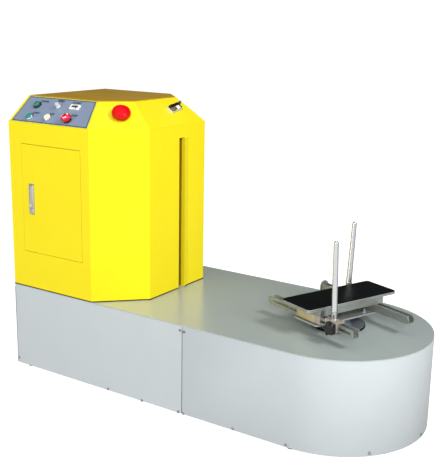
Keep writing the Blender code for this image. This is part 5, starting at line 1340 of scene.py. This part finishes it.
def makeBelt():
    # loop of two arcs and two tangents; its section is a rounded flat band
    d = drive
    span = d["turn"][0] - d["motor"][0]
    wrap = np.pi - math.acos((d["driven"] - d["driver"]) / span)
    outside = d["beltRun"] + d["beltThick"]
    big = np.linspace(-wrap, wrap, 96)
    small = np.linspace(wrap, 2 * np.pi - wrap, 48)
    loop = [(d["turn"], d["driven"] + outside, big), (d["motor"], d["driver"] + outside, small)]
    outline = np.concatenate([centre + r * np.stack([np.cos(a), np.sin(a)], -1) for centre, r, a in loop])
    middle = (d["low"] + d["high"]) / 2
    low, high = middle - d["beltWidth"] / 2, middle + d["beltWidth"] / 2
    band = roundedLine([(0, low), (0, high), (d["beltThick"], high), (d["beltThick"], low)], 0.001, 3, closed=True)
    makePiece("belt_band", [stack(outline, band, loop=True)], finish["blackRubber"], "machine_frame",
              stands=["drive_belt"], slot="black_rubber")


gearMotor = {"low": 0.0703, "top": 0.2406, "radius": 0.060, "finLow": 0.100, "finHigh": 0.182, "fins": 32, "finDepth": 0.007,
             "shaft": 0.009, "shaftTop": 0.2813}


def makeGearMotor():
    # r = R - depth * share(h) * (0.5 + 0.5 cos(fins a)), share 1 along the finned part
    g = gearMotor
    r, low, high = g["radius"], g["finLow"], g["finHigh"]
    line = [(0, g["low"]), (r - 0.004, g["low"]), (r, g["low"] + 0.004), (r, low - 0.004), (r, low), (r, high), (r, high + 0.004),
            (r - 0.003, high + 0.007), (r - 0.003, g["top"] - 0.012), (r, g["top"] - 0.010), (r, g["top"]), (g["shaft"] + 0.012, g["top"]),
            (g["shaft"] + 0.012, g["top"] + 0.004), (g["shaft"], g["top"] + 0.004), (g["shaft"], g["shaftTop"]), (0, g["shaftTop"])]
    line = roundedLine(line, 0.0012, 3)
    a = np.linspace(0, 2 * np.pi, 320, endpoint=False)[None, :]
    share = np.clip(np.minimum(line[:, 1:] - low + 0.002, high + 0.002 - line[:, 1:]) / 0.002, 0, 1)
    radius = line[:, :1] - g["finDepth"] * share * (0.5 + 0.5 * np.cos(g["fins"] * a))
    points = np.stack([radius * np.cos(a), radius * np.sin(a), line[:, 1:] + 0 * a], -1)
    shell = lifted(gridShell(points, wrapColumns=True), (*drive["motor"], 0))
    makePiece("gear_motor_case", [shell], finish["framePaint"], "machine_frame", stands=["gear_motor"], slot="frame_steel")


def makeBearing():
    # flange with its bolts under the deck, and the barrel below it
    low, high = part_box("bearing_housing")
    plateLow = high.z - 0.012
    half = ((high.x - low.x) / 2, (high.y - low.y) / 2)
    bore = drive["bore"] + 0.0003
    shells = [plateWithHole(half, bore, plateLow, high.z)]
    barrel = [(bore, low.z), (0.052, low.z), (0.055, low.z + 0.004), (0.055, plateLow), (bore, plateLow)]
    shells.append(lathe(roundedLine(barrel, 0.0012, 3, closed=True), 96, loop=True))
    for x in (-0.082, 0.082):
        for y in (-0.052, 0.052):
            below = frameOf((x, y, plateLow), (1, 0, 0), (0, -1, 0), (0, 0, -1))
            shells.append(moved(hexHead(0.0095, 0, 0.0075), below))
    shells = [lifted(shell, (*machine["turn"], 0)) for shell in shells]
    makePiece("bearing_block", shells, finish["framePaint"], "machine_frame", stands=["bearing_housing"], slot="frame_steel")


def makeElectrics():
    # box with a lid a little wider than its sides, and two cable glands
    low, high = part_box("electrics_box")
    half = ((high.x - low.x) / 2, (high.y - low.y) / 2)
    middle = ((high.x + low.x) / 2, (high.y + low.y) / 2)
    outline = rectangle(*half, 0.006)
    lid = high.z - 0.024
    steps = [(0.004, low.z), (0.002, low.z + 0.002), (0.002, lid - 0.001), (0.0035, lid - 0.001), (0.0035, lid), (0, lid + 0.001),
             (0, high.z - 0.004), (0.001, high.z - 0.001), (0.004, high.z)]
    makePiece("electrics_case", [lifted(stack(outline, steps), (*middle, 0))], finish["greyPaint"], "machine_frame",
              stands=["electrics_box"], slot="grey_paint")
    gland = lathe(roundedLine([(0, 0), (0.013, 0), (0.013, 0.006), (0.010, 0.008), (0.010, 0.018), (0.006, 0.020), (0, 0.020)],
                              0.001, 3), 48)
    shells = [moved(gland, wallFrame(middle[0] + x, high.y - 0.0015, 0.120, (0, 1))) for x in (-0.05, 0.05)]
    makePiece("electrics_glands", shells, finish["blackPlastic"], "machine_frame")


footSizes = {"radius": 0.018, "pad": 0.010, "stud": 0.006, "nut": 0.0098, "nutLow": 0.0155, "nutHeight": 0.008}


def makeFeet():
    # rubber pad with a sloped top, threaded stud and lock nut
    f = footSizes
    for name in ("foot_front_left", "foot_front_right", "foot_rear_left", "foot_rear_right"):
        low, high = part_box(name)
        centre = ((low.x + high.x) / 2, (low.y + high.y) / 2)
        pad = [(0, 0), (f["radius"] - 0.001, 0), (f["radius"], 0.002), (f["radius"], 0.006), (f["radius"] - 0.002, 0.0065),
               (f["stud"] + 0.004, f["pad"]), (0, f["pad"])]
        turnedPiece(name + "_pad", pad, finish["blackRubber"], "machine_frame", centre, 0.0008, 64, stands=[name], slot="black_rubber")
        stud = threadShell(f["stud"], 0.0006, 0.0015, f["pad"] - 0.001, high.z, 24)
        shells = [lifted(stud, (*centre, 0)), lifted(hexHead(f["nut"], f["nutLow"], f["nutHeight"]), (*centre, 0))]
        makePiece(name + "_stud", shells, finish["zincClear"], "machine_frame", sharp=45)


makePulleys()
makeBelt()
makeGearMotor()
makeBearing()
makeElectrics()
makeFeet()
print("drive done")

# film carriage inside the tower
spool = {"centre": (-0.610, -0.060), "core": 0.038, "radius": 0.110, "flange": 0.055, "flangeHeight": 0.008, "wall": 0.004}
mast = {"rods": [("left", (-0.645, 0.235)), ("right", (-0.425, 0.235))], "rod": 0.0125, "screw": (-0.535, 0.235),
        "screwRadius": 0.010, "threadDepth": 0.0020, "pitch": 0.010, "floor": 0.410, "ceiling": 0.735}
rollers = {"idler": (-0.445, 0.085), "idlerRadius": 0.025, "journal": 0.008, "journalLength": 0.006, "pivot": (-0.375, 0.110),
           "pivotRadius": 0.012, "arm": 0.011, "armSheet": 0.008, "armInset": 0.014, "dancer": (-0.320, 0.035), "dancerRadius": 0.020}


def makeFilmRoll():
    # winding, a little coned at its ends, on a board core; mandrel with a flange and a nose
    low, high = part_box("film_roll")
    core, inside, radius = spool["core"], spool["core"] + spool["wall"], spool["radius"]
    wall = [(inside, low.z + 0.0015), (radius * 0.6, low.z + 0.0005), (radius, low.z + 0.001), (radius, high.z - 0.001),
            (radius * 0.6, high.z - 0.0005), (inside, high.z - 0.0015)]
    turnedPiece("film_winding", wall, finish["stretchFilm"], "film_spool", spool["centre"], 0.002, 128, True,
                stands=["film_roll"], slot="stretch_film")
    tube = [(core, low.z), (inside, low.z), (inside, high.z), (core, high.z)]
    turnedPiece("film_core", tube, finish["cardboard"], "film_spool", spool["centre"], 0.0005, 96, True)
    low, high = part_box("film_mandrel")
    flangeTop = low.z + spool["flangeHeight"]
    shaft = core - 0.0003
    body = [(0, low.z), (spool["flange"], low.z), (spool["flange"], flangeTop), (shaft, flangeTop), (shaft, high.z - 0.016),
            (shaft - 0.008, high.z - 0.004), (0.012, high.z), (0, high.z)]
    turnedPiece("mandrel_body", body, finish["aluminium"], "film_spool", spool["centre"], 0.0015, 96,
                stands=["film_mandrel"], slot="aluminium")


def makeMast():
    # ground rods with base flanges, screw, and the bushes and nut of the carriage on them
    m = mast
    for side, centre in m["rods"]:
        low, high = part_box("guide_rod_" + side)
        line = [(0, low.z), (m["rod"], low.z), (m["rod"], high.z), (0, high.z)]
        turnedPiece("rod_" + side, line, finish["drawnSteel"], "machine_frame", centre, 0.001, 64,
                    stands=["guide_rod_" + side], slot="bright_steel")
        ring = [(m["rod"] + 0.0003, low.z), (0.026, low.z), (0.026, low.z + 0.006), (0.018, low.z + 0.008), (0.018, low.z + 0.018),
                (m["rod"] + 0.0003, low.z + 0.018)]
        turnedPiece("rod_flange_" + side, ring, finish["zincClear"], "machine_frame", centre, 0.0008, 64, True)
        for end, start, way in (("lower", m["floor"], 1), ("upper", m["ceiling"], -1)):
            bush = [(m["rod"] + 0.0004, start), (0.023, start), (0.023, start + way * 0.004), (0.019, start + way * 0.006),
                    (0.019, start + way * 0.022), (m["rod"] + 0.0004, start + way * 0.022)]
            turnedPiece("carriage_bush_" + side + "_" + end, bush, finish["aluminium"], "film_carriage", centre, 0.0008, 64, True)
    low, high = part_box("lift_screw")
    thread = threadShell(m["screwRadius"], m["threadDepth"], m["pitch"], low.z, high.z)
    makePiece("screw_thread", [lifted(thread, (*m["screw"], 0))], finish["drawnSteel"], "screw", sharp=60,
              stands=["lift_screw"], slot="bright_steel")
    inner = m["screwRadius"] + 0.0004
    nut = [(inner, m["floor"]), (0.022, m["floor"]), (0.022, m["floor"] + 0.006), (0.016, m["floor"] + 0.007),
           (0.016, m["floor"] + 0.030), (inner, m["floor"] + 0.030)]
    turnedPiece("carriage_nut", nut, finish["creamPlastic"], "film_carriage", m["screw"], 0.0008, 64, True)


def makeRollers():
    # rubber idler on journals; dancer: pivot tube, two arms and a turning sleeve
    r = rollers
    low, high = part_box("idler_roller")
    foot, neck = low.z + r["journalLength"], high.z - r["journalLength"]
    line = [(0, low.z), (r["journal"], low.z), (r["journal"], foot), (r["idlerRadius"] - 0.003, foot), (r["idlerRadius"], foot + 0.003),
            (r["idlerRadius"], neck - 0.003), (r["idlerRadius"] - 0.003, neck), (r["journal"], neck), (r["journal"], high.z), (0, high.z)]
    turnedPiece("idler_drum", line, finish["blackRubber"], "idler", r["idler"], 0.0008, 72, stands=["idler_roller"], slot="black_rubber")
    low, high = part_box("dancer_arm")
    tube = [(0, low.z), (r["pivotRadius"], low.z), (r["pivotRadius"], high.z), (0, high.z)]
    shells = [lifted(lathe(roundedLine(tube, 0.0008, 3), 48), (*r["pivot"], 0))]
    outline = capsule(r["pivot"], r["dancer"], r["arm"])
    starts = (low.z + r["armInset"], high.z - r["armInset"] - r["armSheet"])
    shells += [slab(outline, start, start + r["armSheet"], 0.001) for start in starts]
    makePiece("dancer_lever", shells, finish["zincClear"], "dancer", stands=["dancer_arm"], slot="zinc_steel")
    low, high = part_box("dancer_roller")
    sleeve = [(0, low.z), (r["dancerRadius"], low.z), (r["dancerRadius"], high.z), (0, high.z)]
    turnedPiece("dancer_drum", sleeve, finish["aluminium"], "dancer_sleeve", r["dancer"], 0.0015, 72,
                stands=["dancer_roller"], slot="aluminium")


liftMotor = {"half": 0.035, "corner": 0.006, "ribs": 9, "pitch": 0.009, "ribDepth": 0.003}


def makeLiftMotor():
    # square case with round corners; ribs are steps of the same outline moved in and out
    m = liftMotor
    low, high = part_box("lift_motor")
    first = low.z + 0.022
    ribs = [(inset, first + rib * m["pitch"] + rise) for rib in range(m["ribs"])
            for inset, rise in ((0, 0), (m["ribDepth"], 0.0006), (m["ribDepth"], 0.0034), (0, 0.0040))]
    steps = [(0.003, low.z), (0, low.z + 0.003), *ribs, (0, high.z - 0.008), (0.001, high.z - 0.006), (0, high.z - 0.004), (0, high.z)]
    shell = lifted(stack(rectangle(m["half"], m["half"], m["corner"]), steps), (*mast["screw"], 0))
    makePiece("lift_motor_case", [shell], finish["framePaint"], "machine_frame", stands=["lift_motor"], slot="frame_steel")


makeFilmRoll()
makeMast()
makeRollers()
makeLiftMotor()
print("film carriage done")


# floor, light and camera
cameraView = {"place": (1.8263, -2.8023, 1.4658), "yaw": 0.585, "pitch": 0.2444, "roll": 0.0182, "lens": 66.86}
studio = {"backdrop": 1.0, "ambientFront": 0.84, "ambientBack": 0.06, "front": (0.26, -0.96, 0.10), "mattShare": 0.40,
          "floor": (0.30, 0.30, 0.30, 1), "floorGlow": 1.0, "bounce": (0.10, 0.70), "floorHalf": 12.0}
lights = {
    "keySoftbox": {"place": (4.78, -6.48, 3.74), "aim": (0.1, 0.0, 0.5), "size": 2.2, "power": 476.0, "shine": False},
    "sideSoftbox": {"place": (5.28, -1.12, 5.03), "aim": (0.40, 0.0, 0.4), "size": 1.5, "power": 290.0},
    "fillSoftbox": {"place": (-1.8, -5.0, 1.8), "aim": (-0.2, 0.0, 0.5), "size": 2.6, "power": 86.0},
    "topSoftbox": {"place": (0.6, -1.2, 4.4), "aim": (0.3, 0.0, 0.0), "size": 3.5, "power": 30.0},
    "towerGrid": {"place": (3.6, -0.9, 1.9), "aim": (-0.25, -0.05, 0.85), "size": 0.5, "power": 0.6, "spread": 0.42,
                  "shine": False},
    "backSoftbox": {"place": (-1.2, 6.4, 1.6), "aim": (-0.1, 0.0, 0.5), "size": 3.0, "power": 110.0, "shine": False},
}


def aimed(place, target):
    return (Vector(target) - Vector(place)).to_track_quat("-Z", "Y").to_matrix().to_4x4()


def makeLights():
    for name, look in lights.items():
        light = bpy.data.lights.new(name, "AREA")
        light.energy = look["power"]
        light.shape = "SQUARE"
        light.size = look["size"]
        light.spread = look.get("spread", math.pi)
        holder = bpy.data.objects.new(name, light)
        holder.matrix_world = Matrix.Translation(look["place"]) @ aimed(look["place"], look["aim"])
        holder.visible_glossy = look.get("shine", True)
        bpy.context.scene.collection.objects.link(holder)


def mattLess(tree, level):
    # level for mirror rays, a share of it for matt ones
    share = rangeNode(tree, addNode(tree, "ShaderNodeLightPath").outputs["Is Glossy Ray"], 0.0, 1.0, studio["mattShare"], 1.0)
    return mathNode(tree, "MULTIPLY", level, share)


def makeWorld():
    # white behind the object; its light falls from ambientFront to ambientBack with the angle from the front
    world = bpy.data.worlds.new("studio")
    world.use_nodes = True
    tree = world.node_tree
    ambient = tree.nodes["Background"]
    ambient.inputs["Color"].default_value = (1, 1, 1, 1)
    facing = addNode(tree, "ShaderNodeVectorMath", operation="DOT_PRODUCT")
    tree.links.new(addNode(tree, "ShaderNodeTexCoord").outputs["Generated"], facing.inputs[0])
    facing.inputs[1].default_value = studio["front"]
    level = rangeNode(tree, facing.outputs["Value"], -0.5, 0.8, studio["ambientBack"], studio["ambientFront"])
    tree.links.new(mattLess(tree, level), ambient.inputs["Strength"])
    backdrop = addNode(tree, "ShaderNodeBackground")
    backdrop.inputs["Color"].default_value = (1, 1, 1, 1)
    backdrop.inputs["Strength"].default_value = studio["backdrop"]
    mix = addNode(tree, "ShaderNodeMixShader")
    tree.links.new(addNode(tree, "ShaderNodeLightPath").outputs["Is Camera Ray"], mix.inputs[0])
    tree.links.new(ambient.outputs[0], mix.inputs[1])
    tree.links.new(backdrop.outputs[0], mix.inputs[2])
    tree.links.new(mix.outputs[0], tree.nodes["World Output"].inputs["Surface"])
    bpy.context.scene.world = world
    bpy.context.scene.view_settings.view_transform = "Standard"


def makeFloor():
    # paper that the camera sees as white; the light it throws on things falls from their front to their back
    half = studio["floorHalf"]
    x, y = np.meshgrid(np.linspace(-half, half, 9), np.linspace(-half, half, 9), indexing="ij")
    vertices, faces = gridShell(np.stack([x, y, 0 * x], -1))
    mesh = bpy.data.meshes.new("floor")
    mesh.from_pydata(vertices.tolist(), [], faces)
    floor = bpy.data.objects.new("floor", mesh)
    bpy.context.scene.collection.objects.link(floor)
    paper = bpy.data.materials.new("floorPaper")
    paper.use_nodes = True
    tree = paper.node_tree
    shader = tree.nodes["Principled BSDF"]
    shader.inputs["Base Color"].default_value = studio["floor"]
    shader.inputs["Roughness"].default_value = 0.95
    shader.inputs["Emission Color"].default_value = (1, 1, 1, 1)
    facing = addNode(tree, "ShaderNodeVectorMath", operation="DOT_PRODUCT")
    tree.links.new(addNode(tree, "ShaderNodeTexCoord").outputs["Object"], facing.inputs[0])
    facing.inputs[1].default_value = studio["front"]
    bounce = rangeNode(tree, facing.outputs["Value"], -1.5, 1.5, *studio["bounce"])
    seen = addNode(tree, "ShaderNodeMix", data_type="FLOAT")
    tree.links.new(addNode(tree, "ShaderNodeLightPath").outputs["Is Camera Ray"], seen.inputs[0])
    tree.links.new(mattLess(tree, bounce), seen.inputs[2])
    seen.inputs[3].default_value = studio["floorGlow"]
    tree.links.new(seen.outputs[0], shader.inputs["Emission Strength"])
    mesh.materials.append(paper)


def makeCamera():
    # forward from yaw and pitch, right level, both rolled about the view
    yaw, pitch, roll = cameraView["yaw"], cameraView["pitch"], cameraView["roll"]
    forward = np.array([-math.sin(yaw) * math.cos(pitch), math.cos(yaw) * math.cos(pitch), -math.sin(pitch)])
    level = np.array([math.cos(yaw), math.sin(yaw), 0.0])
    above = np.cross(level, forward)
    right = math.cos(roll) * level + math.sin(roll) * above
    up = -math.sin(roll) * level + math.cos(roll) * above
    camera = bpy.data.cameras.new("camera")
    camera.lens = cameraView["lens"]
    camera.sensor_width = 36
    holder = bpy.data.objects.new("camera", camera)
    holder.matrix_world = Matrix(frameOf(cameraView["place"], right, up, -forward).tolist())
    bpy.context.scene.collection.objects.link(holder)
    bpy.context.scene.camera = holder


makeLights()
makeWorld()
makeFloor()
makeCamera()
print("studio done")
